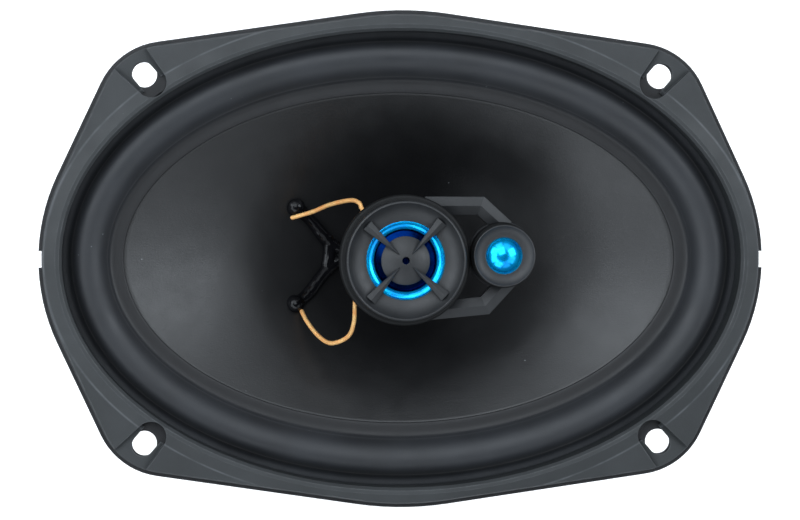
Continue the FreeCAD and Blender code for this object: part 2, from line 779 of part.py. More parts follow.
PLATE_TOP = "-cup_drop - gap"
PLATE_BACK = f"{PLATE_TOP} - plate_thickness"
MAGNET_TOP = f"{PLATE_BACK} - gap"
YOKE_TOP = f"{MAGNET_TOP} - magnet_thickness - gap"
YOKE_BACK = f"{YOKE_TOP} - yoke_thickness"


def bevelled_disc(name, outer, inner, base, height, bevel):
    """A pierced disc whose outer edges are bevelled."""
    return turned(name, base, [
        (inner, "0"), (f"{outer} - {bevel}", "0"), (outer, bevel), (outer, f"{height} - {bevel}"),
        (f"{outer} - {bevel}", height), (inner, height),
    ])


def top_plate():
    """Front steel plate of the magnet gap, with holes for the basket's rivets."""
    plate = bevelled_disc("top_plate_disc", "plate_radius", "plate_hole_radius", PLATE_BACK,
                          "plate_thickness", "steel_bevel")
    holes = []
    for index, turn in enumerate(RIVET_TURNS):
        x, y = polar("rivet_circle", turn)
        holes.append(tube(f"plate_rivet_hole_{index}", "rivet_radius + gap", "0",
                          f"{PLATE_BACK} - 1", "plate_thickness + 2", x, y))
    return cut("top_plate", plate, fused("plate_rivet_holes", holes))


def magnet():
    return bevelled_disc("magnet", "magnet_radius", "magnet_hole_radius", f"{MAGNET_TOP} - magnet_thickness",
                         "magnet_thickness", "magnet_bevel")


def back_yoke():
    """Steel back plate and centre pole in one turned piece, bored for the tweeter post's bolt."""
    plate = "yoke_thickness"
    edge = "yoke_radius - steel_bevel"
    pole = f"{PLATE_TOP} - ({YOKE_BACK})"
    return turned("back_yoke", YOKE_BACK, [
        ("counterbore_radius", "0"), (edge, "0"), ("yoke_radius", "steel_bevel"),
        ("yoke_radius", f"{plate} - steel_bevel"), (edge, plate), ("pole_radius", plate),
        ("pole_radius", pole), ("pole_bore_radius", pole), ("pole_bore_radius", plate),
        ("counterbore_radius", plate),
    ])


def basket_rivets():
    """Four dome-headed rivets that hold the basket's cup to the top plate."""
    sunk = "0.5"
    shank = f"plate_thickness + flange_thickness + gap - {sunk}"
    crown = "rivet_head_radius - 0.2"
    rivets = []
    for index, turn in enumerate(RIVET_TURNS):
        x, y = polar("rivet_circle", turn)
        rivets.append(turned(f"basket_rivet_{index}", f"{PLATE_BACK} + {sunk} + gap", [
            ("0", "0"), ("rivet_radius", "0"), ("rivet_radius", shank), ("rivet_head_radius", shank),
            (crown, f"{shank} + rivet_head_edge", cap_bend(crown, "rivet_head_rise")),
            ("0", f"{shank} + rivet_head_edge + rivet_head_rise"),
        ], x, y))
    return grouped("basket_rivets", rivets)


# ---------------------------------------------------------------- tweeter pod

BRIDGE_BASE = "bridge_top - bridge_thickness"
HOUSING_BASE = "bridge_top + gap"
BEZEL_BASE = f"{HOUSING_BASE} + pod_height + gap"
POST_TOP = f"{BRIDGE_BASE} - gap"
SCREW_TURNS = (90, 210, 330)
SUPER_PLACE = polar("super_offset", "tweeter_clock")
SUPER_BASE = "arm_base + bridge_thickness + gap"
SUPER_LIP = f"{SUPER_BASE} + super_height"


def screw_holes(name, base, height, clock="0"):
    """The three screws' holes through one piece of the pod, which may itself be clocked."""
    return [tube(f"{name}_{index}", "screw_radius + gap", "0", base, height,
                 *polar("screw_circle", f"{turn} - {clock}"))
            for index, turn in enumerate(SCREW_TURNS)]


def tweeter_post():
    """Moulded post on the pole: a spigot in the bore, a hollow column through the cone, a flange on top."""
    top = f"{POST_TOP} + post_foot_drop"
    shoulder = f"{PLATE_TOP} + gap + post_foot_drop"
    flange = f"{top} - post_flange_thickness"
    spigot = "pole_bore_radius - gap"
    bore = "bolt_radius + gap"
    column = turned("post_column", "-post_foot_drop", [
        (bore, "0"), (spigot, "0"), (spigot, shoulder), ("post_radius", shoulder), ("post_radius", flange),
        ("post_flange_radius", flange), ("post_flange_radius", top), ("post_chamber_radius", top),
        ("post_chamber_radius", "post_chamber_floor"), ("0", "post_chamber_floor"),
        ("0", "post_thread_depth"), (bore, "post_thread_depth"),
    ])
    holes = screw_holes("post_screw_hole", f"{POST_TOP} - 2 * post_flange_thickness", "8")
    return cut("tweeter_post", column, fused("post_screw_holes", holes))


def post_fixing():
    """The bolt that clamps the post down through the pole, and its washer, both sunk in the yoke's back."""
    washer_back = f"{YOKE_TOP} - gap - washer_thickness"
    washer = tube("post_washer", "counterbore_radius - 1", "bolt_radius + 0.2", washer_back,
                  "washer_thickness")
    head = "bolt_head_height"
    socket = "bolt_head_radius - 2"
    bolt = turned("post_bolt", f"{washer_back} - gap - {head}", [
        ("0", "0.6"), (f"{socket} - 0.4", "0.6"), (socket, "0"), ("bolt_head_radius", "0.4"),
        ("bolt_head_radius", head), ("bolt_radius", head), ("bolt_radius", "bolt_length"),
        ("0", "bolt_length"),
    ])
    return [washer, bolt]


def gable(half_width, base, eave, ridge, centre, across):
    """A pointed-roof section, upright at the centre point and spread along the horizontal vector across."""
    outline = [(-1, base), (1, base), (1, eave), (0, ridge), (-1, eave)]
    points = [Vector(centre.x + across.x * half_width * side, centre.y + across.y * half_width * side, height)
              for side, height in outline]
    return Part.makePolygon(points + points[:1])


def bridge_arm(sign):
    """One roofed arm from under the main tweeter, round a bend, to the small tweeter's seat."""
    stations = [("arm_start", "arm_offset"), ("arm_bend", "arm_bend_offset"), ("arm_end", "arm_end_offset")]
    path = [Vector(number(x), sign * number(y), 0) for x, y in stations]
    legs = [(path[1] - path[0]).normalize(), (path[2] - path[1]).normalize()]
    mitre = (legs[0] + legs[1]).normalize()
    widen = 1 / mitre.dot(legs[0])
    headings = [(legs[0], 1), (mitre, widen), (legs[1], 1)]
    sections = []
    for centre, (heading, stretch) in zip(path, headings):
        across = Vector(-heading.y, heading.x, 0)
        sections.append(gable(number("arm_half_width") * stretch, number("arm_base"), number("arm_eave"),
                              number("arm_ridge"), centre, across))
    return Part.makeLoft(sections, True, True)


def tweeter_bridge():
    """Carrier of both tweeters: a disc under the main one, a seat for the small one and two roofed arms."""
    disc = tube("bridge_disc", "bridge_radius", "0", BRIDGE_BASE, "bridge_thickness")
    seat = tube("bridge_seat", "seat_radius", "0", "arm_base", "bridge_thickness", "super_offset")
    arms = [shaped(f"bridge_arm_{index}", bridge_arm(sign)) for index, sign in enumerate((1, -1))]
    clearance = tube("bridge_seat_clearance", "seat_radius - 0.3", "0", f"{SUPER_BASE} - gap", "10",
                     "super_offset")
    tools = [clearance] + screw_holes("bridge_screw_hole", "0", "8", "tweeter_clock")
    bridge = cut("tweeter_bridge", fused("bridge_blank", [disc, seat] + arms), fused("bridge_tools", tools))
    return place(bridge, turn="tweeter_clock")


def bridge_screws():
    """Three pan-head screws up through the post's flange and the bridge into the housing's floor."""
    head = "screw_head_height"
    base = f"{POST_TOP} - post_flange_thickness - gap - {head}"
    recess = "0.5"
    screws = []
    for index, turn in enumerate(SCREW_TURNS):
        screws.append(turned(f"bridge_screw_{index}", base, [
            ("0", "0.3"), (recess, "0.3"), (recess, "0"), ("screw_head_radius - 0.5", "0"),
            ("screw_head_radius", "0.5"), ("screw_head_radius", head), ("screw_radius", head),
            ("screw_radius", "screw_length"), ("0", "screw_length"),
        ], *polar("screw_circle", turn)))
    return grouped("bridge_screws", screws)


def tweeter_housing():
    """Round cup of the main tweeter, with a rim wider than the bezel that stands on it."""
    floor = "pod_floor"
    cup = turned("housing_cup", HOUSING_BASE, [
        ("0", "0"), ("pod_radius - 1", "0"), ("pod_radius", "1.2"), ("pod_radius", "pod_height - 1", "0.9"),
        ("pod_radius - 0.9", "pod_height"), ("pod_wall_radius", "pod_height"), ("pod_wall_radius", floor),
        ("0", floor),
    ])
    holes = screw_holes("housing_screw_hole", "0", "12")
    return cut("tweeter_housing", cup, fused("housing_screw_holes", holes))


def tweeter_motor():
    """Small neodymium motor: steel cup, magnet disc, pole plate, and the spacer that centres the cup."""
    floor = f"{HOUSING_BASE} + pod_floor + gap"
    outer = "small_yoke_radius"
    inner = "small_coil_radius + 0.45"
    yoke = turned("tweeter_yoke", floor, [
        ("0", "0"), (outer, "0"), (outer, "small_yoke_height"), (inner, "small_yoke_height"), (inner, "1"),
        ("0", "1"),
    ])
    slug_base = f"{floor} + 1 + gap"
    slug = tube("tweeter_magnet", "small_coil_radius - 1.25", "0", slug_base, "small_magnet_height")
    pole = tube("tweeter_pole_plate", "small_coil_radius - 0.95", "0",
                f"{slug_base} + small_magnet_height + gap", "0.85")
    spacer = tube("tweeter_spacer_ring", "pod_wall_radius - 0.1", f"{outer} + 0.1", floor, "5.3")
    return [yoke, slug, pole, spacer]


def tweeter_diaphragm():
    """Blue metallised dome with its flat edge, and the coil fixed under it."""
    film = "diaphragm_film"
    root = "diaphragm_dome_radius"
    rise = "diaphragm_dome_rise"
    under_root = f"({root} - 0.3)"
    under_rise = f"({rise} - 0.05)"
    dome = turned("tweeter_diaphragm", "diaphragm_base", [
        (f"{root} - 0.1", "0"), ("diaphragm_radius", "0"), ("diaphragm_radius", film),
        (f"{root} + 0.3", film), (root, f"{film} + 0.2", cap_bend(root, rise)),
        ("0", f"{film} + 0.2 + {rise}"), ("0", f"{under_rise} + 0.2", f"-{cap_bend(under_root, under_rise)}"),
        (under_root, "0.2"),
    ])
    coil = tube("tweeter_voice_coil", "small_coil_radius", "small_coil_radius - 0.5",
                "diaphragm_base - gap - small_coil_height", "small_coil_height")
    return [dome, coil]


def tweeter_bezel():
    """Front ring of the main tweeter: a concave dish, a domed centre plug and four wedge spokes."""
    rise = f"tweeter_face - ({BEZEL_BASE})"
    mouth = f"{rise} - bezel_dish"
    ring = turned("bezel_ring", BEZEL_BASE, [
        ("bezel_radius", "0"), ("bezel_radius", f"{rise} - 0.8", "0.8"), ("bezel_radius - 0.8", rise, "-9"),
        ("bezel_mouth_radius", mouth), ("bezel_mouth_radius", f"{mouth} - 0.8"),
        ("bezel_mouth_radius + 2.6", f"{mouth} - 0.8"), ("pod_wall_radius", f"{rise} - 3"),
        ("pod_wall_radius", "0"),
    ])
    crown = "plug_crown_radius"
    edge = "plug_base + 0.4"
    plug = turned("bezel_plug", BEZEL_BASE, [
        ("plug_hole_radius", "plug_base"), ("plug_radius - 0.4", "plug_base"), ("plug_radius", edge, crown),
        ("plug_hole_radius",
         f"{edge} + sqrt({crown} ^ 2 - plug_hole_radius ^ 2) - sqrt({crown} ^ 2 - plug_radius ^ 2)"),
    ])
    base = number(BEZEL_BASE)
    spokes = []
    for index in range(4):
        turn = math.radians(45 + 90 * index)
        heading = Vector(math.cos(turn), math.sin(turn), 0)
        across = Vector(-heading.y, heading.x, 0)
        tip = gable(number("spoke_tip_half_width"), base + 2.8, base + 4.2, base + 4.45,
                    heading * number("spoke_inner"), across)
        foot = gable(number("spoke_half_width"), base + 2.8, base + 5.2, base + 6.2,
                     heading * number("spoke_outer"), across)
        spokes.append(shaped(f"bezel_spoke_{index}", Part.makeLoft([tip, foot], True, True)))
    return place(fused("tweeter_bezel", [ring, plug] + spokes), turn="tweeter_clock")


def tweeter_blue_ring():
    """Bright blue plated ring in the bezel's mouth, rounded on top and flanged below."""
    mouth = "bezel_mouth_radius - gap"
    inner = "blue_ring_inner_radius"
    flange = "bezel_mouth_radius + 1"
    return turned("tweeter_blue_ring", f"{HOUSING_BASE} + 6.5", [
        (inner, "0"), (flange, "0"), (flange, "1.15"), (mouth, "1.15"), (mouth, "1.7", "2.6"), (inner, "0.6"),
    ])


def solder_tags():
    """Two brass tags under the bridge's disc, where the front leads end."""
    tags = []
    for index, turn in enumerate(("tag_angle_upper", "tag_angle_lower")):
        corners = rectangle("tag_radius - 3.2", "tag_radius + 2.6", "-tag_half_width", "tag_half_width")
        tags.append(cut_from_sheet(f"solder_tag_{index}", corners, f"{BRIDGE_BASE} - gap - tag_thickness",
                                   "tag_thickness", turn=turn))
    return grouped("tweeter_solder_tags", tags)


def capacitor():
    """Crossover capacitor for the tweeters, standing in the post's hollow, with a crimped neck."""
    body = "capacitor_radius"
    neck = "capacitor_radius - 0.3"
    end = "capacitor_radius - 0.4"
    height = "capacitor_height"
    return turned("tweeter_capacitor", "-capacitor_drop", [
        ("0", "0"), (end, "0"), (body, "0.4"), (body, f"{height} - 4"), (neck, f"{height} - 3.4"),
        (neck, f"{height} - 2.8"), (body, f"{height} - 2.2"), (body, f"{height} - 0.4"), (end, height),
        ("0", height),
    ])


def super_tweeter():
    """The small tweeter's cup, front ring, and the ring its piezo disc rests on."""
    wall = "super_wall_radius"
    housing = turned("super_tweeter_housing", SUPER_BASE, [
        ("0", "0"), ("super_radius + 0.4", "0"), ("super_radius + 0.4", "super_height - 1"),
        ("super_radius", "super_height - 0.6"), ("super_radius", "super_height"), (wall, "super_height"),
        (wall, "1"), ("0", "1"),
    ], *SUPER_PLACE)
    rise = f"super_face - ({SUPER_LIP}) - gap"
    bezel = turned("super_tweeter_bezel", f"{SUPER_LIP} + gap", [
        ("super_mouth_radius", "0"), ("super_radius", "0"), ("super_radius", f"{rise} - 0.4", "0.4"),
        ("super_radius - 0.4", rise, "-5"), ("super_mouth_radius", f"{rise} - 1.4"),
    ], *SUPER_PLACE)
    ring = tube("piezo_mount_ring", f"{wall} - gap", "piezo_radius - 0.8", f"{SUPER_LIP} - 2", "1.25",
                *SUPER_PLACE)
    return [housing, bezel, ring]


def super_tweeter_driver():
    """The small tweeter's moving piece: brass disc, ceramic wafer under it, flanged blue dome on it."""
    disc = tube("piezo_disc", "piezo_radius", "0", f"{SUPER_LIP} - 0.65", "piezo_thickness", *SUPER_PLACE)
    wafer = tube("piezo_ceramic", "piezo_ceramic_radius", "0", f"{SUPER_LIP} - 0.7 - piezo_thickness",
                 "piezo_thickness", *SUPER_PLACE)
    flange = "piezo_radius - 0.2"
    foot = "0.2"
    dome = turned("super_tweeter_dome", f"{SUPER_LIP} - 0.4", [
        ("0", "0"), (flange, "0"), (flange, foot), ("dome_radius", foot),
        ("dome_radius", f"3 * {foot}", cap_bend("dome_radius", "dome_height")),
        ("0", f"3 * {foot} + dome_height"),
    ], *SUPER_PLACE)
    return [disc, wafer, dome]


# ---------------------------------------------------------------- terminals

BOARD_TOP = "-shelf_drop - gap"
BOARD_BACK = f"{BOARD_TOP} - board_thickness"
BOARD_RIVET_X = "-board_centre + 1"
PIN_X = "-board_centre + 0.5"


def terminal_board():
    """Fibre board under the basket's tab, pierced for its two rivets and for the terminals' pins."""
    corners = rectangle("-board_half_length", "board_half_length", "-board_half_width", "board_half_width")
    board = cut_from_sheet("board_blank", corners, BOARD_BACK, "board_thickness", "-board_centre")
    holes = []
    for index, sign in enumerate((1, -1)):
        for kind, radius, x, y in (("rivet", "tab_rivet_radius", BOARD_RIVET_X, "tab_rivet_y"),
                                   ("pin", "pin_radius", PIN_X, "terminal_y")):
            holes.append(tube(f"board_{kind}_hole_{index}", f"{radius} + gap", "0", f"{BOARD_BACK} - 1", "4",
                              x, f"{sign} * {y}"))
    return cut("terminal_board", board, fused("board_holes", holes))


def terminal(name, sign, width):
    """Blade terminal: a foot on the board's back, a blade bent down from it, and a pin through the board."""
    foot_top = f"{BOARD_BACK} - gap"
    y = f"{sign} * terminal_y"
    thick = "blade_thickness"
    low, high = f"-({width}) / 2", f"({width}) / 2"
    foot = cut_from_sheet(f"{name}_foot", rectangle("-blade_reach", "2.5", low, high),
                          f"{foot_top} - {thick}", thick, "-board_centre", y)
    blade = cut_from_sheet(f"{name}_blade", rectangle("-blade_reach", f"{thick} - blade_reach", low, high),
                           f"{foot_top} - blade_drop", "blade_drop", "-board_centre", y)
    pin = tube(f"{name}_pin", "pin_radius", "0", f"{foot_top} - {thick} / 2", "board_thickness + 1", PIN_X, y)
    height = number(f"{foot_top} - blade_drop + 4")
    start = Vector(number("-board_centre - blade_reach - 1"), number(y), height)
    bar = Part.makeCylinder(0.9, 4, start, Vector(1, 0, 0))
    return cut(name, fused(f"{name}_blank", [foot, blade, pin]), shaped(f"{name}_detent", bar))


def terminal_rivets():
    """Two rivets that hold the board to the basket's tab."""
    low = "0.6"
    high = f"{low} + 3 * gap + board_thickness + flange_thickness"
    head = "tab_rivet_radius + 1.1"
    bore = "0.7"
    rivets = []
    for index, sign in enumerate((1, -1)):
        rivets.append(turned(f"terminal_rivet_{index}", f"{BOARD_BACK} - gap - {low}", [
            (bore, "0"), (head, "0"), (head, low), ("tab_rivet_radius", low), ("tab_rivet_radius", high),
            (head, high), (head, f"{high} + 0.3"), (f"{head} - 0.5", f"{high} + 0.6"),
            (bore, f"{high} + 0.6"),
        ], BOARD_RIVET_X, f"{sign} * tab_rivet_y"))
    return grouped("terminal_rivets", rivets)


# ---------------------------------------------------------------- assembly

def assemble():
    """Every sub-part of the speaker, each one an object of the document under its own label."""
    air = cone_stack("cone_air", "0")
    eyelets = [eyelet(f"lead_eyelet_{index}", sign) for index, sign in enumerate((1, -1))]
    doc.recompute()
    parts = [
        basket(), trim_ring(), surround(), cone(air), spider(), *voice_coil(),
        grouped("lead_eyelets", eyelets), lead_glue(air, eyelets),
        front_lead("front_lead_upper", 1, (-1.2, -3.3, 2.2), "tag_angle_upper", 3.3),
        front_lead("front_lead_lower", -1, (2.2, -3.0, 2.1), "tag_angle_lower", -12.5),
        rear_lead("rear_lead_upper", 1), rear_lead("rear_lead_lower", -1),
        top_plate(), magnet(), back_yoke(), basket_rivets(),
        tweeter_post(), *post_fixing(), tweeter_bridge(), bridge_screws(),
        tweeter_housing(), *tweeter_motor(), *tweeter_diaphragm(), tweeter_bezel(), tweeter_blue_ring(),
        solder_tags(), capacitor(),
        *super_tweeter(), *super_tweeter_driver(),
        terminal_board(), terminal("terminal_positive", 1, "positive_blade_width"),
        terminal("terminal_negative", -1, "negative_blade_width"), terminal_rivets(),
    ]
    doc.recompute()
    return parts


def check(parts):
    """Stops with a message if any object failed, or a sub-part's shape is empty or not valid."""
    for thing in doc.Objects:
        if {"Invalid", "Error"} & set(thing.State):
            raise RuntimeError(f"{thing.Label} failed: {thing.State}")
    for part in parts:
        if part.Shape.isNull() or not part.Shape.isValid() or not part.Shape.Solids:
            raise RuntimeError(f"{part.Label} has no valid solid")


sub_parts = assemble()
check(sub_parts)
os.makedirs("parts", exist_ok=True)
for sub_part in sub_parts:
    sub_part.Shape.exportStep(f"parts/{sub_part.Label}.step")
    print(sub_part.Label, len(sub_part.Shape.Solids), round(sub_part.Shape.Volume, 1))
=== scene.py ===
import math

import bpy
import numpy as np
from mathutils import Matrix, Vector, noise


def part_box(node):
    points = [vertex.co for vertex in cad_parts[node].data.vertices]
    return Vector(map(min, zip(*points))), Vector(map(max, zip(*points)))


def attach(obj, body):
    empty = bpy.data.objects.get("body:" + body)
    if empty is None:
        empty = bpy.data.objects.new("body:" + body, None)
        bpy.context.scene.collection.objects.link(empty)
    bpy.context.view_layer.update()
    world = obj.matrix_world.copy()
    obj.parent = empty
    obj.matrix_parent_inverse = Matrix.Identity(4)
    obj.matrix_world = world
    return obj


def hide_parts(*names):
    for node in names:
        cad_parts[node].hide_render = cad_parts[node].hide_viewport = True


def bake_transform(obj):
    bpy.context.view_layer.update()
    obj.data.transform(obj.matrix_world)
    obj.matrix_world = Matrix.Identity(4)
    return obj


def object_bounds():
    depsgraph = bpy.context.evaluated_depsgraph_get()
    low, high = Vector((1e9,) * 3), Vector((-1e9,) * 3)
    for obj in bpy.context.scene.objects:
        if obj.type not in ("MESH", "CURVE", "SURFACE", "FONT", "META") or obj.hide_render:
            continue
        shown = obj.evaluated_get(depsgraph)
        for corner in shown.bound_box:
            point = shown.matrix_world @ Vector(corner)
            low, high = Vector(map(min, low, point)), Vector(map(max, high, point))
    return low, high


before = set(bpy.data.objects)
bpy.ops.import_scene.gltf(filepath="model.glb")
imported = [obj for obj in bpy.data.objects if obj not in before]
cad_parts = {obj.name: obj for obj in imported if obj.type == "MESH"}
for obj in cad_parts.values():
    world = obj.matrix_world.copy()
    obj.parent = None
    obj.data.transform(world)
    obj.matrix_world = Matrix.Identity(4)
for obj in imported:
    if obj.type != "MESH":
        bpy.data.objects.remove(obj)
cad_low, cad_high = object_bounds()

# A 6 x 9 inch three-way coaxial car speaker, lying on its magnet and firing up, towards +Z.
# Lengths are in metres. X is the long way and Y the short way of the oval.

MM = 0.001
scene = bpy.context.scene

CLOUD_ROUGHNESS = 0.55
RUBBED_SHARE = 0.55
GRAIN_SHARE = 0.35
SHADER_SAMPLES = 6
DEFAULT_SHINE = 0.5
DUST_CELLS = 170.0
DUST_COLOUR = (0.16, 0.17, 0.18)

# The colour sockets of a Mix node, which share their names with its other sockets.
MIX_FACTOR, MIX_A, MIX_B, MIX_RESULT = 0, 6, 7, 2


# ---------------------------------------------------------------- shader building

def feed(tree, socket, value):
    """Links another socket to this one, or sets its value."""
    if isinstance(value, bpy.types.NodeSocket):
        tree.links.new(value, socket)
    else:
        socket.default_value = value


def node(tree, kind, settings=None, **inputs):
    """Adds a shader node. Inputs are sockets or values, and _ in a name stands for a space."""
    made = tree.nodes.new("ShaderNode" + kind)
    for key, value in (settings or {}).items():
        setattr(made, key, value)
    for key, value in inputs.items():
        feed(tree, made.inputs[key.replace("_", " ")], value)
    return made


def place_of(tree, stretch=(1, 1, 1)):
    """The shading point in the row frame, in metres, stretched along each axis."""
    coordinates = node(tree, "TexCoord")
    mapping = node(tree, "Mapping", Vector=coordinates.outputs["Object"], Scale=stretch)
    return mapping.outputs["Vector"]


def cloud(tree, scale, detail=4.0, stretch=(1, 1, 1), distortion=0.0):
    """Noise from 0 to 1. The scale is in lumps a metre."""
    made = node(tree, "TexNoise", Vector=place_of(tree, stretch), Scale=scale, Detail=detail,
                Distortion=distortion, Roughness=CLOUD_ROUGHNESS)
    return made.outputs["Fac"]


def remap(tree, value, low, high, to_low=0.0, to_high=1.0):
    """Carries the range low to high onto to_low to to_high, and stops at its ends."""
    made = node(tree, "MapRange", Value=value, From_Min=low, From_Max=high, To_Min=to_low, To_Max=to_high)
    return made.outputs["Result"]


def maths(tree, operation, a, b=0.0):
    """One arithmetic step on sockets or values."""
    made = tree.nodes.new("ShaderNodeMath")
    made.operation = operation
    for socket, value in zip(made.inputs, (a, b)):
        feed(tree, socket, value)
    return made.outputs[0]


def mix(tree, factor, a, b):
    """Colour a where the factor is 0, b where it is 1."""
    made = tree.nodes.new("ShaderNodeMix")
    made.data_type = "RGBA"
    feed(tree, made.inputs[MIX_FACTOR], factor)
    for index, colour in ((MIX_A, a), (MIX_B, b)):
        opaque = colour if isinstance(colour, bpy.types.NodeSocket) else (*colour, 1)
        feed(tree, made.inputs[index], opaque)
    return made.outputs[MIX_RESULT]


def worn_edges(tree, radius, span):
    """The rounded normal at edges, and how much of an edge each point is, broken up by noise.

    span is the cosine between flat and rounded normal where the wear starts, and where it is full."""
    bevel = node(tree, "Bevel", {"samples": SHADER_SAMPLES}, Radius=radius)
    flat = node(tree, "NewGeometry")
    dot = tree.nodes.new("ShaderNodeVectorMath")
    dot.operation = "DOT_PRODUCT"
    tree.links.new(bevel.outputs["Normal"], dot.inputs[0])
    tree.links.new(flat.outputs["Normal"], dot.inputs[1])
    edge = remap(tree, dot.outputs["Value"], *span)
    patches = remap(tree, cloud(tree, 260), 0.4, 0.65, 0.35, 1.0)
    return bevel.outputs["Normal"], maths(tree, "MULTIPLY", edge, patches)


def finish_of(name, dark, light, rough, grain=1500, depth=0.02, mottle=70, edge=None, rub=None,
              span=(0.995, 0.85), **principled):
    """A material: mottled colour, uneven roughness, a fine grain in relief, and lighter rubbed edges.

    dark and light are the two colours, and rough the two roughnesses. grain and mottle are in
    lumps a metre, depth and edge in millimetres. rub is the colour at rubbed edges, and span says
    how sharp they must be.
    Further settings go to the shader itself."""
    material = bpy.data.materials.new(name)
    material.use_nodes = True
    tree = material.node_tree
    tree.nodes.clear()
    output = node(tree, "OutputMaterial")
    large = cloud(tree, mottle, detail=6)
    small = cloud(tree, grain, detail=3)
    colour = mix(tree, remap(tree, large, 0.3, 0.7), dark, light)
    colour = mix(tree, remap(tree, small, 0.35, 0.7, 0, GRAIN_SHARE), colour, light)
    bump_inputs = {}
    if edge:
        normal, wear = worn_edges(tree, edge * MM, span)
        bump_inputs["Normal"] = normal
        colour = mix(tree, maths(tree, "MULTIPLY", wear, RUBBED_SHARE), colour, rub or light)
    roughness = remap(tree, cloud(tree, mottle * 2.3, detail=5), 0.3, 0.7, *rough)
    bump = node(tree, "Bump", Strength=1.0, Distance=depth * MM, Height=small, **bump_inputs)
    shader = node(tree, "BsdfPrincipled", Base_Color=colour, Roughness=roughness,
                  Normal=bump.outputs["Normal"], **principled)
    tree.links.new(shader.outputs[0], output.inputs[0])
    return material, tree, shader, bump


def radius_of(tree):
    """Distance from the speaker's axis, in metres."""
    split = node(tree, "SeparateXYZ", Vector=place_of(tree))
    squares = [maths(tree, "POWER", split.outputs[axis], 2.0) for axis in ("X", "Y")]
    return maths(tree, "SQRT", maths(tree, "ADD", *squares))


def oval_line(tree, half_length, half_width, thickness):
    """1 on an ellipse round the axis, fading to 0 at thickness metres from it."""
    squashed = place_of(tree, (1 / half_length, 1 / half_width, 0))
    reach = tree.nodes.new("ShaderNodeVectorMath")
    reach.operation = "LENGTH"
    tree.links.new(squashed, reach.inputs[0])
    away = maths(tree, "ABSOLUTE", maths(tree, "SUBTRACT", reach.outputs["Value"], 1.0))
    return remap(tree, away, 2 * thickness / (half_length + half_width), 0.0)


def stripes(tree, along, pitch):
    """Smooth stripes from -1 to 1 over a coordinate, one every pitch metres."""
    return maths(tree, "SINE", maths(tree, "MULTIPLY", along, 2 * math.pi / pitch))


def add_relief(tree, bump, shader, height, depth):
    """Lays one more relief over a finish, depth millimetres deep."""
    second = node(tree, "Bump", Strength=1.0, Distance=depth * MM, Height=height,
                  Normal=bump.outputs["Normal"])
    tree.links.new(second.outputs["Normal"], shader.inputs["Normal"])


def add_tint(tree, shader, factor, colour):
    """Lays a colour over a finish where the factor is 1."""
    base = shader.inputs["Base Color"]
    tree.links.new(mix(tree, factor, base.links[0].from_socket, colour), base)


def add_dust(tree, shader):
    """Scatters a few pale specks."""
    cells = node(tree, "TexVoronoi", Vector=place_of(tree), Scale=DUST_CELLS)
    specks = remap(tree, cells.outputs["Distance"], 0.045, 0.025)
    some = remap(tree, cloud(tree, 45), 0.56, 0.60)
    add_tint(tree, shader, maths(tree, "MULTIPLY", specks, some), DUST_COLOUR)


def paint_crevice_shade(tree, shader, reach, shaded_shine):
    """Painted shade: takes the shine off a finish where other surfaces stand within reach metres of it, so
    that recesses look darker.
    """
    crowding = node(tree, "AmbientOcclusion", {"samples": SHADER_SAMPLES}, Distance=reach)
    shine = remap(tree, crowding.outputs["AO"], 0.35, 0.9, shaded_shine, DEFAULT_SHINE)
    tree.links.new(shine, shader.inputs["Specular IOR Level"])


# ---------------------------------------------------------------- materials

def painted_steel():
    """Satin black powder coat with a slight orange peel."""
    material, tree, shader, bump = finish_of(
        "painted_steel", (0.008, 0.008, 0.009), (0.018, 0.018, 0.02), (0.34, 0.48), grain=1100, depth=0.02,
        edge=0.35, rub=(0.05, 0.05, 0.055))
    add_relief(tree, bump, shader, cloud(tree, 420, detail=2), 0.05)
    return material


def trim_plastic():
    """Charcoal moulded plastic with a fine spark-eroded grain, a painted highlight along its crease, and
    painted shade in its recesses.
    """
    # The rub colour lightens worn edges. Its tight span also lays that colour on the shallow crease, as part
    # of the painted highlight there.
    material, tree, shader, bump = finish_of(
        "trim_plastic", (0.017, 0.019, 0.020), (0.027, 0.030, 0.032), (0.5, 0.62), grain=2600, depth=0.03,
        mottle=45, edge=0.5, rub=(0.11, 0.115, 0.12), span=(0.9990, 0.975))
    add_relief(tree, bump, shader, cloud(tree, 900, detail=3), 0.03)
    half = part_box("trim_ring")[1]
    crease_inset = 0.6 * MM
    crease_outset = 0.2 * MM
    crease_width = 0.5 * MM
    # Painted highlight: a pale line along the crease, as if the fold caught the light, broken up by noise.
    crease = oval_line(tree, half.x - crease_inset, half.y + crease_outset, crease_width)
    crease_highlight_breaks = remap(tree, cloud(tree, 110), 0.35, 0.6, 0.25, 1.0)
    add_tint(tree, shader, maths(tree, "MULTIPLY", crease, crease_highlight_breaks), (0.075, 0.08, 0.085))
    add_dust(tree, shader)
    # Painted shade: the shine is taken off in the pockets and other recesses.
    paint_crevice_shade(tree, shader, 9 * MM, 0.1)
    return material


def pod_plastic():
    """Satin black plastic of the tweeters' front rings and bridge."""
    material, tree, shader, bump = finish_of(
        "pod_plastic", (0.012, 0.013, 0.014), (0.020, 0.021, 0.023), (0.40, 0.50), grain=2200, depth=0.016,
        mottle=120, edge=0.3, rub=(0.040, 0.041, 0.044))
    add_relief(tree, bump, shader, cloud(tree, 700, detail=3), 0.012)
    # Painted shade: the shine is taken off where other parts crowd in.
    paint_crevice_shade(tree, shader, 5 * MM, 0.1)
    return material


def pod_shell():
    """Matt black plastic of the tweeters' cups and their post. It is darker than pod_plastic, partly as its
    own matt finish and partly as painted shade on the cups' walls.
    """
    material, tree, shader, bump = finish_of(
        "pod_shell", (0.0045, 0.0047, 0.005), (0.0075, 0.008, 0.0085), (0.55, 0.66), grain=1900, depth=0.02,
        mottle=120, edge=0.3, rub=(0.016, 0.017, 0.018), Specular_IOR_Level=0.28)
    add_relief(tree, bump, shader, cloud(tree, 700, detail=3), 0.012)
    return material


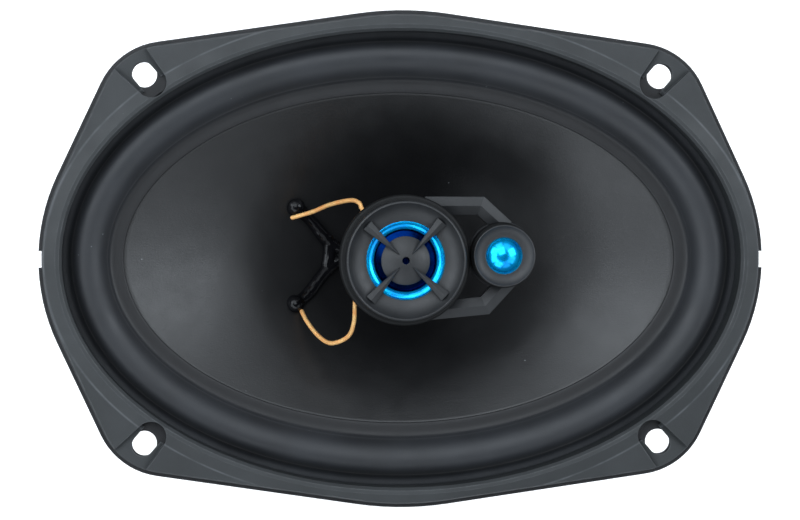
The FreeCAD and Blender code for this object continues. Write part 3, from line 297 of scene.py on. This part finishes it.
def surround_rubber():
    """Blue-grey butyl rubber with a dusty bloom, and painted shade on its inner lip, down between the roll
    and the cone.
    """
    material, tree, shader, bump = finish_of(
        "surround_rubber", (0.011, 0.012, 0.014), (0.020, 0.022, 0.026), (0.46, 0.58), grain=1700, depth=0.02,
        mottle=38, Sheen_Weight=0.12, Sheen_Roughness=0.4)
    add_relief(tree, bump, shader, cloud(tree, 300, detail=4), 0.05)
    # Painted shade: the inner lip, marked by the lip attribute, is darkened as if shaded by the roll.
    lip = node(tree, "Attribute", {"attribute_name": "lip"}).outputs["Fac"]
    add_tint(tree, shader, lip, (0.004, 0.004, 0.005))
    add_dust(tree, shader)
    return material


def cone_paper():
    """Black pressed paper pulp with fibres in it, with a sheen. Towards the neck its shine is taken down as
    painted shade, where the tweeter pod shades the cone.
    """
    material, tree, shader, bump = finish_of(
        "cone_paper", (0.0050, 0.0050, 0.0054), (0.0068, 0.0068, 0.0073), (0.38, 0.45), grain=1300,
        depth=0.02, mottle=60)
    fibres = cloud(tree, 500, detail=5, stretch=(1, 3, 1), distortion=2.5)
    add_relief(tree, bump, shader, fibres, 0.04)
    add_dust(tree, shader)
    # Painted shade: the shine falls off towards the neck, under the tweeter pod.
    shade_within = 28 * MM
    unshaded_beyond = 52 * MM
    neck_shade_shine = remap(tree, radius_of(tree), shade_within, unshaded_beyond, 0.14, 0.68)
    tree.links.new(neck_shade_shine, shader.inputs["Specular IOR Level"])
    return material


def spider_cloth():
    """Resin-stiffened cotton cloth with a square weave."""
    material, tree, shader, bump = finish_of(
        "spider_cloth", (0.30, 0.19, 0.075), (0.46, 0.32, 0.14), (0.7, 0.85), grain=1800, depth=0.05,
        mottle=60, Sheen_Weight=0.3)
    split = node(tree, "SeparateXYZ", Vector=place_of(tree))
    thread_pitch = 0.7 * MM
    threads = [stripes(tree, split.outputs[axis], thread_pitch) for axis in ("X", "Y")]
    weave = maths(tree, "MULTIPLY", *threads)
    add_relief(tree, bump, shader, weave, 0.12)
    return material


def zinc_steel():
    """Zinc-plated steel with turning marks round the axis."""
    material, tree, shader, bump = finish_of(
        "zinc_steel", (0.36, 0.37, 0.38), (0.56, 0.57, 0.58), (0.24, 0.42), grain=900, depth=0.01, mottle=50,
        edge=0.25, rub=(0.8, 0.8, 0.8), Metallic=1.0)
    mark_pitch = 0.35 * MM
    mark_wander = 0.6 * MM
    wobble = maths(tree, "MULTIPLY", cloud(tree, 200), mark_wander)
    rings = stripes(tree, maths(tree, "ADD", radius_of(tree), wobble), mark_pitch)
    add_relief(tree, bump, shader, rings, 0.006)
    return material


def ferrite():
    """Grey-black sintered magnet with small pits."""
    material, tree, shader, bump = finish_of(
        "ferrite", (0.020, 0.020, 0.021), (0.045, 0.045, 0.047), (0.5, 0.75), grain=1400, depth=0.06,
        mottle=90, edge=0.4, rub=(0.10, 0.10, 0.10))
    pits = node(tree, "TexVoronoi", Vector=place_of(tree), Scale=520.0)
    add_relief(tree, bump, shader, remap(tree, pits.outputs["Distance"], 0.0, 0.25), 0.06)
    return material


def blue_chrome():
    """Bright blue lacquer over bright metal."""
    return finish_of(
        "blue_chrome", (0.0, 0.25, 0.92), (0.0, 0.58, 1.0), (0.18, 0.27), grain=700, depth=0.004,
        mottle=160, Metallic=0.75, Specular_IOR_Level=0.2, Coat_Weight=0.2, Coat_Roughness=0.03)[0]


def blue_film():
    """Blue metallised film of the main tweeter's diaphragm, made dark as painted shade for the deep gap under
    the ring that it lies in.
    """
    return finish_of(
        "blue_film", (0.0, 0.006, 0.05), (0.0, 0.015, 0.11), (0.16, 0.26), grain=900, depth=0.006,
        mottle=200, Metallic=1.0)[0]


def copper_braid():
    """Bare copper of the braided leads."""
    return finish_of(
        "copper_braid", (1.0, 0.42, 0.13), (1.0, 0.66, 0.27), (0.34, 0.5), grain=2500, depth=0.01,
        mottle=320, Metallic=0.4)[0]


def copper_wire():
    """Enamelled wire wound in a close layer."""
    material, tree, shader, bump = finish_of(
        "copper_wire", (0.42, 0.13, 0.05), (0.66, 0.24, 0.10), (0.22, 0.34), grain=1500, depth=0.01,
        Metallic=1.0, Coat_Weight=0.5)
    split = node(tree, "SeparateXYZ", Vector=place_of(tree))
    wire_pitch = 0.3 * MM
    add_relief(tree, bump, shader, stripes(tree, split.outputs["Z"], wire_pitch), 0.08)
    return material


def former_film():
    """Amber heat-proof film that the coils are wound on."""
    return finish_of(
        "former_film", (0.30, 0.13, 0.03), (0.42, 0.21, 0.06), (0.2, 0.35), grain=800, depth=0.01,
        Coat_Weight=0.6)[0]


def glue():
    """Shiny black rubber cement, not quite smooth."""
    material, tree, shader, bump = finish_of(
        "glue", (0.0025, 0.0025, 0.003), (0.004, 0.004, 0.005), (0.08, 0.18), grain=700, depth=0.01,
        mottle=150, Specular_IOR_Level=0.22)
    add_relief(tree, bump, shader, cloud(tree, 260, detail=2), 0.05)
    return material


def brass():
    """Dulled brass, rubbed brighter at its edges."""
    return finish_of(
        "brass", (0.55, 0.38, 0.13), (0.80, 0.60, 0.25), (0.2, 0.38), grain=900, depth=0.01, edge=0.12,
        rub=(0.95, 0.8, 0.45), Metallic=1.0)[0]


def neodymium():
    """Nickel-plated magnet."""
    return finish_of(
        "neodymium", (0.50, 0.50, 0.48), (0.68, 0.68, 0.66), (0.1, 0.22), grain=600, depth=0.005,
        edge=0.15, Metallic=1.0)[0]


def capacitor_sleeve():
    """Dark blue shrunk-on plastic."""
    return finish_of(
        "capacitor_sleeve", (0.010, 0.014, 0.05), (0.016, 0.022, 0.08), (0.2, 0.34), grain=900,
        depth=0.02, Coat_Weight=0.4)[0]


def fibre_board():
    """Brown resin-bonded paper board with fibres in it."""
    material, tree, shader, bump = finish_of(
        "fibre_board", (0.030, 0.026, 0.022), (0.060, 0.050, 0.042), (0.42, 0.6), grain=1300,
        depth=0.03, edge=0.15, rub=(0.14, 0.11, 0.09))
    add_relief(tree, bump, shader, cloud(tree, 350, stretch=(1, 8, 1)), 0.03)
    return material


def ceramic():
    """Cream fired ceramic of the piezo disc."""
    return finish_of(
        "ceramic", (0.48, 0.45, 0.40), (0.62, 0.60, 0.55), (0.4, 0.6), grain=1900, depth=0.01)[0]


LOOKS = {make.__name__: make() for make in (
    painted_steel, trim_plastic, pod_plastic, pod_shell, surround_rubber, cone_paper, spider_cloth,
    zinc_steel, ferrite, blue_chrome, blue_film, copper_braid, copper_wire, former_film, glue, brass,
    neodymium, capacitor_sleeve, fibre_board, ceramic)}


def dress(piece, look):
    """Gives a piece its material, and names the record's slot for it."""
    piece.data.materials.clear()
    piece.data.materials.append(LOOKS[look])
    return piece


def dress_cad_nodes():
    """Every CAD node that is shown wears the finish its slot names."""
    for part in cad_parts.values():
        dress(part, part.data.materials[0].name)


# ---------------------------------------------------------------- mesh building

def grid_piece(name, points, look, closed_rows=True):
    """A mesh of quads over an array of points, rows by columns.

    The last column joins the first, and so does the last row where closed_rows is set."""
    rows, columns = points.shape[:2]
    row = np.arange(rows if closed_rows else rows - 1)
    r, c = (index.ravel() for index in np.meshgrid(row, np.arange(columns), indexing="ij"))
    r_next = (r + 1) % rows
    c_next = (c + 1) % columns
    corners = [r * columns + c, r_next * columns + c, r_next * columns + c_next, r * columns + c_next]
    faces = np.stack(corners, 1)
    mesh = bpy.data.meshes.new(name)
    mesh.from_pydata(points.reshape(-1, 3).tolist(), [], faces.tolist())
    mesh.validate()
    mesh.shade_smooth()
    piece = bpy.data.objects.new(name, mesh)
    scene.collection.objects.link(piece)
    return dress(piece, look)


CORNER_CUT = 0.25
CORNER_PASSES = 2


def soften(profile):
    """Cuts the corners of a closed profile, so that it reads as moulded."""
    points = np.array(profile, float)
    keep = 1 - CORNER_CUT
    for _ in range(CORNER_PASSES):
        following = np.roll(points, -1, axis=0)
        after = points * keep + following * CORNER_CUT
        before = points * CORNER_CUT + following * keep
        points = np.stack([after, before], 1).reshape(-1, 2)
    return points


def oval_sweep(profile, half_length, half_width, columns):
    """Carries a closed (offset, height) profile round an ellipse, square to it. Gives points and offsets."""
    turn = np.linspace(0, 2 * math.pi, columns, endpoint=False)
    path = np.stack([half_length * np.cos(turn), half_width * np.sin(turn)], 1)
    outward = np.stack([half_width * np.cos(turn), half_length * np.sin(turn)], 1)
    outward /= np.linalg.norm(outward, axis=1)[:, None]
    offset = profile[:, 0][:, None]
    points = np.empty((len(profile), columns, 3))
    points[:, :, 0] = path[:, 0] + outward[:, 0] * offset
    points[:, :, 1] = path[:, 1] + outward[:, 1] * offset
    points[:, :, 2] = profile[:, 1][:, None]
    return points, np.repeat(offset, columns, axis=1)


def roughen(points, size, depth):
    """Moves points up and down a little by smooth noise, size metres wide and depth metres deep."""
    flat = points.reshape(-1, 3)
    for point in flat:
        point[2] += depth * noise.noise(Vector(point) / size)


def bend_between(piece):
    """Bakes a piece's placement into its mesh."""
    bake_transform(piece)


# ---------------------------------------------------------------- suspension

ROLL_WIDTH = 12.3 * MM
RUBBER = 0.8 * MM
OUTER_LIP = 3.6 * MM
INNER_LIP = 5.1 * MM
LIP_ROOT = 0.9 * MM
LIP_CHAMFER = 0.3 * MM
ROLL_STEPS = 30


def make_surround():
    """Rubber half roll: a flat lip glued to the cone, the roll, and a flat lip under the trim ring."""
    low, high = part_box("surround")
    half = ROLL_WIDTH / 2
    middle_x = high.x - OUTER_LIP - half
    middle_y = high.y - OUTER_LIP - half
    inner_top = low.z + RUBBER
    trim_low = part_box("trim_ring")[0].z
    most_rise = 2 * MM
    outer_top = min(trim_low, inner_top + most_rise)
    centre = (inner_top + outer_top) / 2
    lean = (outer_top - inner_top) / 2

    def roll(width, height, turn):
        return width * math.cos(turn), centre + lean * math.cos(turn) + height * math.sin(turn)

    turns = [math.pi * step / ROLL_STEPS for step in range(2, ROLL_STEPS - 1)]
    over = [roll(half, high.z - centre, turn) for turn in turns]
    under = [roll(half - RUBBER, high.z - centre - RUBBER, turn) for turn in reversed(turns)]
    root = RUBBER * 0.4
    bevel_drop = RUBBER * 0.6
    outer_lip = [(half + OUTER_LIP, outer_top - RUBBER), (half + OUTER_LIP, outer_top),
                 (half + LIP_ROOT, outer_top)]
    inner_lip = [(-half - LIP_ROOT, inner_top), (-half - INNER_LIP + LIP_CHAMFER, inner_top),
                 (-half - INNER_LIP, inner_top - bevel_drop), (-half - INNER_LIP, low.z),
                 (-half + root, low.z)]
    profile = outer_lip + over + inner_lip + under + [(half - root, outer_top - RUBBER)]
    points, offsets = oval_sweep(soften(profile), middle_x, middle_y, columns=720)
    roughen(points, size=9 * MM, depth=0.05 * MM)
    piece = grid_piece("surround_roll", points, "surround_rubber")
    # The lip attribute marks the inner lip, which the rubber's material darkens as painted shade.
    lip = piece.data.attributes.new("lip", "FLOAT", "POINT")
    lip.data.foreach_set("value", np.clip((-half - offsets) / MM, 0, 1).astype(np.float32).ravel())
    bend_between(piece)
    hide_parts("surround")


CONE_NECK = 13.15 * MM
CONE_BRIM = 4.6 * MM
CONE_PAPER = 0.7 * MM
CONE_CURVE = 0.85
CONE_COLLAR = 0.5 * MM
CONE_COLLAR_HEIGHT = 1.5 * MM
BRIM_ROUND = 0.1 * MM


def cone_section(share, top, drop):
    """Half length, half width and height of the cone's face, from its neck at share 0 to its rim at 1."""
    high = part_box("cone")[1]
    long_reach = high.x - CONE_BRIM - CONE_NECK
    wide_reach = high.y - CONE_BRIM - CONE_NECK
    height = top - drop * (1 - share ** CONE_CURVE)
    return CONE_NECK + long_reach * share, CONE_NECK + wide_reach * share, height


def make_cone():
    """Pressed paper cone: its face, the flat brim, its back and the collar at the neck."""
    low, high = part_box("cone")
    top = high.z
    drop = top - (low.z + CONE_COLLAR_HEIGHT)
    crowding = 1.3
    shares = np.linspace(0, 1, 80) ** crowding
    face = [cone_section(share, top, drop) for share in shares]
    rim_x, rim_y = face[-1][:2]
    brim = [(rim_x + grow, rim_y + grow, top - fall) for grow, fall in (
        (0.2 * MM, 0), (CONE_BRIM * 0.5, 0), (CONE_BRIM - BRIM_ROUND, 0), (CONE_BRIM, BRIM_ROUND),
        (CONE_BRIM, CONE_PAPER - BRIM_ROUND), (CONE_BRIM - BRIM_ROUND, CONE_PAPER), (0.4 * MM, CONE_PAPER))]
    back = [(x, y, z - CONE_PAPER) for x, y, z in reversed(face)]
    collar = [(CONE_NECK + grow, CONE_NECK + grow, low.z + rise) for grow, rise in (
        (0.55 * MM, 0.8 * MM), (CONE_COLLAR, 0), (0, 0))]
    sections = np.array(face + brim + back + collar)
    turn = np.linspace(0, 2 * math.pi, 600, endpoint=False)
    points = np.empty((len(sections), len(turn), 3))
    points[:, :, 0] = sections[:, 0][:, None] * np.cos(turn)
    points[:, :, 1] = sections[:, 1][:, None] * np.sin(turn)
    points[:, :, 2] = sections[:, 2][:, None]
    roughen(points, size=6 * MM, depth=0.04 * MM)
    piece = grid_piece("cone_paper_shell", points, "cone_paper")
    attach(piece, "cone_assembly")
    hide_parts("cone")


def make_spider():
    """Corrugated cloth disc: collar on the coil's former, round waves, and a flat rim glued to the basket."""
    low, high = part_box("spider")
    clearance = 0.05 * MM
    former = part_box("voice_coil_former")[1].x + clearance
    cloth = 0.5 * MM
    pitch = 5.2 * MM
    first = 15 * MM
    last = 41 * MM
    rim_start = last + 2 * MM
    rim_end = high.x - 0.1 * MM
    collar_top = low.z + 2.4 * MM
    depth = 0.55 * MM
    level = low.z + depth
    radii = np.linspace(first, last, 150)
    waves = level + depth * np.sin(2 * math.pi * (radii - first) / pitch)
    over = [(former + cloth, collar_top), (former + cloth, level + 0.6 * MM),
            (former + cloth + 0.5 * MM, level + cloth)]
    over += [(radius, height + cloth) for radius, height in zip(radii, waves)]
    over += [(rim_start, level + cloth), (rim_end, level + cloth), (high.x, level + cloth / 2)]
    under = [(rim_end, level), (rim_start, level)]
    under += [(radius, height) for radius, height in zip(radii[::-1], waves[::-1])]
    under += [(former + 0.2 * MM, level), (former, level + 0.3 * MM), (former, collar_top)]
    almost_nothing = 1e-9
    points, offsets = oval_sweep(np.array(over + under), almost_nothing, almost_nothing, columns=540)
    roughen(points, size=5 * MM, depth=0.12 * MM)
    piece = grid_piece("spider_cloth_disc", points, "spider_cloth")
    bend_between(piece)
    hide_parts("spider")


# ---------------------------------------------------------------- leads and glue

LEAD_RADIUS = 0.75 * MM
LEAD_STEPS = 260
STRAND_SIDES = 7
STRAND_RADIUS = LEAD_RADIUS * 0.30
STRAND_FLATNESS = 0.7
STRAND_BREADTH = 1.15
CROSSING_SHARE = 0.10
LAY = 5.0 * MM
CURVE_STEPS = 40

# How many strands wind each way round a lead.
STRANDS = 8

# From the eyelet to the solder tag, in millimetres.
FRONT_LEADS = {
    "front_lead_upper": (
        (-35.0, 12.8, -26.5), (-28.5, 15.0, -20), (-23.1, 17.6, -12), (-17.0, 19.2, -4),
        (-14.4, 18.5, 0), (-13.6, 16.75, 1.3), (-12.6, 15.6, 1.3)),
    "front_lead_lower": (
        (-31.7, -18.4, -26.8), (-29.9, -22.0, -22), (-26.4, -26.4, -16), (-22.5, -28.3, -11),
        (-17.5, -25.8, -6), (-15.8, -20.9, -2), (-15.7, -14.45, 1.0), (-15.3, -13.2, 1.2)),
}
REAR_LEADS = {"rear_lead_upper": 1, "rear_lead_lower": -1}
EYELET_X = -33.7 * MM
EYELET_Y = 16.2 * MM
TERMINAL_X = -66.5 * MM
TERMINAL_Y = 11.5 * MM

# How far a rear lead has gone from its eyelet at three places, in millimetres, for the upper one.
REAR_SAG = ((-5, 1, -6), (-15, 4.5, -8.5), (-27, 4.5, -10))


def smooth_path(stations):
    """Points evenly spread along a smooth curve through the stations, and the length travelled at each."""
    ends = [2 * stations[0] - stations[1]] + list(stations) + [2 * stations[-1] - stations[-2]]
    dense = []
    for index in range(1, len(ends) - 2):
        before, start, end, after = ends[index - 1:index + 3]
        for t in np.linspace(0, 1, CURVE_STEPS, endpoint=False):
            dense.append(0.5 * (
                2 * start
                + (end - before) * t
                + (2 * before - 5 * start + 4 * end - after) * t ** 2
                + (3 * start - before - 3 * end + after) * t ** 3))
    dense.append(stations[-1])
    dense = np.array(dense)
    travelled = np.concatenate([[0], np.cumsum(np.linalg.norm(np.diff(dense, axis=0), axis=1))])
    wanted = np.linspace(0, travelled[-1], LEAD_STEPS)
    path = np.stack([np.interp(wanted, travelled, dense[:, axis]) for axis in range(3)], 1)
    return path, wanted


def frames_along(path):
    """Two unit vectors square to the path at each of its points, carried along without twist."""
    heading = np.gradient(path, axis=0)
    heading /= np.linalg.norm(heading, axis=1)[:, None]
    any_other_way = (0.3, 0.2, 1.0)
    side = np.cross(heading[0], any_other_way)
    sides = []
    for direction in heading:
        side = side - direction * np.dot(side, direction)
        side = side / np.linalg.norm(side)
        sides.append(side)
    sides = np.array(sides)
    return sides, np.cross(heading, sides)


def make_lead(cad_node, stations):
    """A braid of copper strands along a path from the cone, where it moves, to its fixed end.

    Half the strands wind each way, and each rises and falls as it crosses the others."""
    path, travelled = smooth_path([np.array(station, float) for station in stations])
    side, up = frames_along(path)
    core = LEAD_RADIUS - STRAND_RADIUS
    corner = np.linspace(0, 2 * math.pi, STRAND_SIDES, endpoint=False)
    tubes = []
    for direction in (1, -1):
        for strand in range(STRANDS):
            start = 2 * math.pi * strand / STRANDS
            angle = start + direction * 2 * math.pi * travelled / LAY
            crossing = np.cos(
                STRANDS * 2 * math.pi * travelled / LAY + direction * start + math.pi * (direction < 0))
            reach = core + CROSSING_SHARE * LEAD_RADIUS * crossing
            spoke = side * np.cos(angle)[:, None] + up * np.sin(angle)[:, None]
            centre = path + spoke * reach[:, None]
            along = np.gradient(centre, axis=0)
            along /= np.linalg.norm(along, axis=1)[:, None]
            across = np.cross(along, spoke)
            tubes.append(centre[:, None] + STRAND_RADIUS * (
                spoke[:, None] * np.sin(corner)[None, :, None] * STRAND_FLATNESS
                + across[:, None] * np.cos(corner)[None, :, None] * STRAND_BREADTH))
    name = cad_node + "_braid"
    pieces = [grid_piece(f"{name}_strand", tube, "copper_braid", closed_rows=False) for tube in tubes]
    joined = join(name, pieces)
    bend_between(joined)
    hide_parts(cad_node)


def join(name, pieces):
    """One copper mesh of several pieces, in their order."""
    vertices = []
    faces = []
    for piece in pieces:
        base = len(vertices)
        vertices += [tuple(vertex.co) for vertex in piece.data.vertices]
        faces += [[base + index for index in polygon.vertices] for polygon in piece.data.polygons]
        bpy.data.objects.remove(piece)
    mesh = bpy.data.meshes.new(name)
    mesh.from_pydata(vertices, [], faces)
    mesh.shade_smooth()
    joined = bpy.data.objects.new(name, mesh)
    scene.collection.objects.link(joined)
    return dress(joined, "copper_braid")


def rear_lead_stations(name, sign):
    """From the back of an eyelet, backwards and outwards, to the eyelet's terminal."""
    start = Vector((EYELET_X, sign * EYELET_Y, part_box("lead_eyelets")[0].z - 0.9 * MM))
    pin = Vector((TERMINAL_X, sign * TERMINAL_Y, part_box(name)[0].z))
    sagging = [start + Vector((x * MM, sign * y * MM, z * MM)) for x, y, z in REAR_SAG]
    above_pin = Vector((pin.x - 0.5 * MM, sign * 14.5 * MM, pin.z + 4 * MM))
    at_pin = Vector((pin.x, pin.y, pin.z + 0.8 * MM))
    return [start, *sagging, above_pin, at_pin]


def make_leads():
    """Front leads loop from the eyelets to the tags under the tweeter; rear leads run to the terminals."""
    for name, stations in FRONT_LEADS.items():
        make_lead(name, [np.array(station) * MM for station in stations])
    for name, sign in REAR_LEADS.items():
        make_lead(name, rear_lead_stations(name, sign))


def make_glue():
    """The glue's CAD solid, melted into one lumpy bead."""
    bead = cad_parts["lead_glue"]
    remesh = bead.modifiers.new("even_mesh", "REMESH")
    remesh.mode = "VOXEL"
    remesh.voxel_size = 0.3 * MM
    remesh.use_smooth_shade = True
    melt = bead.modifiers.new("melt", "SMOOTH")
    melt.iterations = 14
    lumps = bpy.data.textures.new("glue_lumps", "CLOUDS")
    lumps.noise_scale = 7 * MM
    swell = bead.modifiers.new("lumps", "DISPLACE")
    swell.texture = lumps
    swell.texture_coords = "LOCAL"
    swell.strength = 0.7 * MM
    swell.mid_level = 0.5


# ---------------------------------------------------------------- stage

FLOOR_REACH = 4.0
FLOOR_GAP = 0.02 * MM
FLOOR_GLOW = 0.6
SOFTBOX_SIZE = 0.8
SOFTBOX_DISTANCE = 1.4
SOFTBOX_TINT = (0.86, 0.93, 1.0)


def softbox(name, place, power):
    """A square lamp that faces the origin."""
    lamp = bpy.data.lights.new(name, "AREA")
    lamp.shape = "RECTANGLE"
    lamp.size = SOFTBOX_SIZE
    lamp.size_y = SOFTBOX_SIZE
    lamp.energy = power
    lamp.color = SOFTBOX_TINT
    box = bpy.data.objects.new(name, lamp)
    box.location = place
    box.rotation_mode = "QUATERNION"
    box.rotation_quaternion = (Vector() - box.location).to_track_quat("-Z", "Y")
    scene.collection.objects.link(box)


def make_floor():
    """A pale floor that the speaker's yoke stands on. It looks as pale as the world behind it."""
    mesh = bpy.data.meshes.new("floor")
    level = cad_low.z - FLOOR_GAP
    corners = [(x * FLOOR_REACH, y * FLOOR_REACH, level) for x, y in ((-1, -1), (1, -1), (1, 1), (-1, 1))]
    mesh.from_pydata(corners, [], [(0, 1, 2, 3)])
    floor = bpy.data.objects.new("floor", mesh)
    scene.collection.objects.link(floor)
    material, tree, shader, _ = finish_of(
        "pale_floor", (0.90, 0.90, 0.90), (0.94, 0.94, 0.94), (0.7, 0.8), grain=60, depth=0.05, mottle=3,
        Emission_Color=(1, 1, 1, 1))
    seen = node(tree, "LightPath").outputs["Is Camera Ray"]
    tree.links.new(maths(tree, "MULTIPLY", seen, FLOOR_GLOW), shader.inputs["Emission Strength"])
    mesh.materials.append(material)


def make_world():
    """Pale to the camera, dim to the object, so that black pieces stay black."""
    world = bpy.data.worlds.new("studio")
    scene.world = world
    world.use_nodes = True
    tree = world.node_tree
    tree.nodes.clear()
    output = node(tree, "OutputWorld")
    path = node(tree, "LightPath")
    colour = mix(tree, path.outputs["Is Camera Ray"], (0.02, 0.021, 0.022), (1.0, 1.0, 1.0))
    back = node(tree, "Background", Color=colour, Strength=1.0)
    tree.links.new(back.outputs[0], output.inputs[0])


def make_lights():
    """A ring of eight softboxes round the speaker, and one more nearly overhead.

    The places are in degrees: a tilt from straight up, and a bearing anticlockwise from +X. The
    powers, and the overhead lamp's place, began as a least-squares fit of renders by one lamp at a
    time. The ring's powers were then rounded and changed."""
    ring_tilt = 48
    ring_turn = 20
    ring_watts = (9.6, 2.2, 3.8, 7.6, 5.4, 5.0, 2.0, 3.0)
    spacing = 45
    overhead = (22, 110, 6.1)
    boxes = [(ring_tilt, ring_turn + spacing * step, watts) for step, watts in enumerate(ring_watts)]
    for tilt, bearing, watts in boxes + [overhead]:
        lean = math.radians(tilt)
        turn = math.radians(bearing)
        way = Vector((math.sin(lean) * math.cos(turn), math.sin(lean) * math.sin(turn), math.cos(lean)))
        softbox(f"softbox_{tilt}_{bearing}", way * SOFTBOX_DISTANCE, watts)


def make_camera():
    """Almost square-on to the speaker's face, from a little to its left and above."""
    yaw = math.radians(4.6)
    pitch = math.radians(2.2)
    roll = math.radians(0.15)
    back = Vector((-math.sin(yaw) * math.cos(pitch), math.sin(pitch), math.cos(yaw) * math.cos(pitch)))
    right = Vector((0, 1, 0)).cross(back).normalized()
    up = back.cross(right)
    turn = Matrix((right, up, back)).transposed() @ Matrix.Rotation(roll, 3, "Z")
    camera = bpy.data.objects.new("camera", bpy.data.cameras.new("camera"))
    camera.data.lens = 178
    camera.data.sensor_width = 36
    camera.data.clip_start = 0.05
    camera.data.clip_end = 20
    target = Vector((-0.8, -0.3, 0)) * MM
    distance = 1.3
    camera.matrix_world = Matrix.Translation(target + back * distance) @ turn.to_4x4()
    scene.collection.objects.link(camera)
    scene.camera = camera


# ---------------------------------------------------------------- build

dress_cad_nodes()
make_surround()
make_cone()
make_spider()
make_leads()
make_glue()
make_floor()
make_world()
make_lights()
make_camera()
scene.view_settings.view_transform = "Standard"
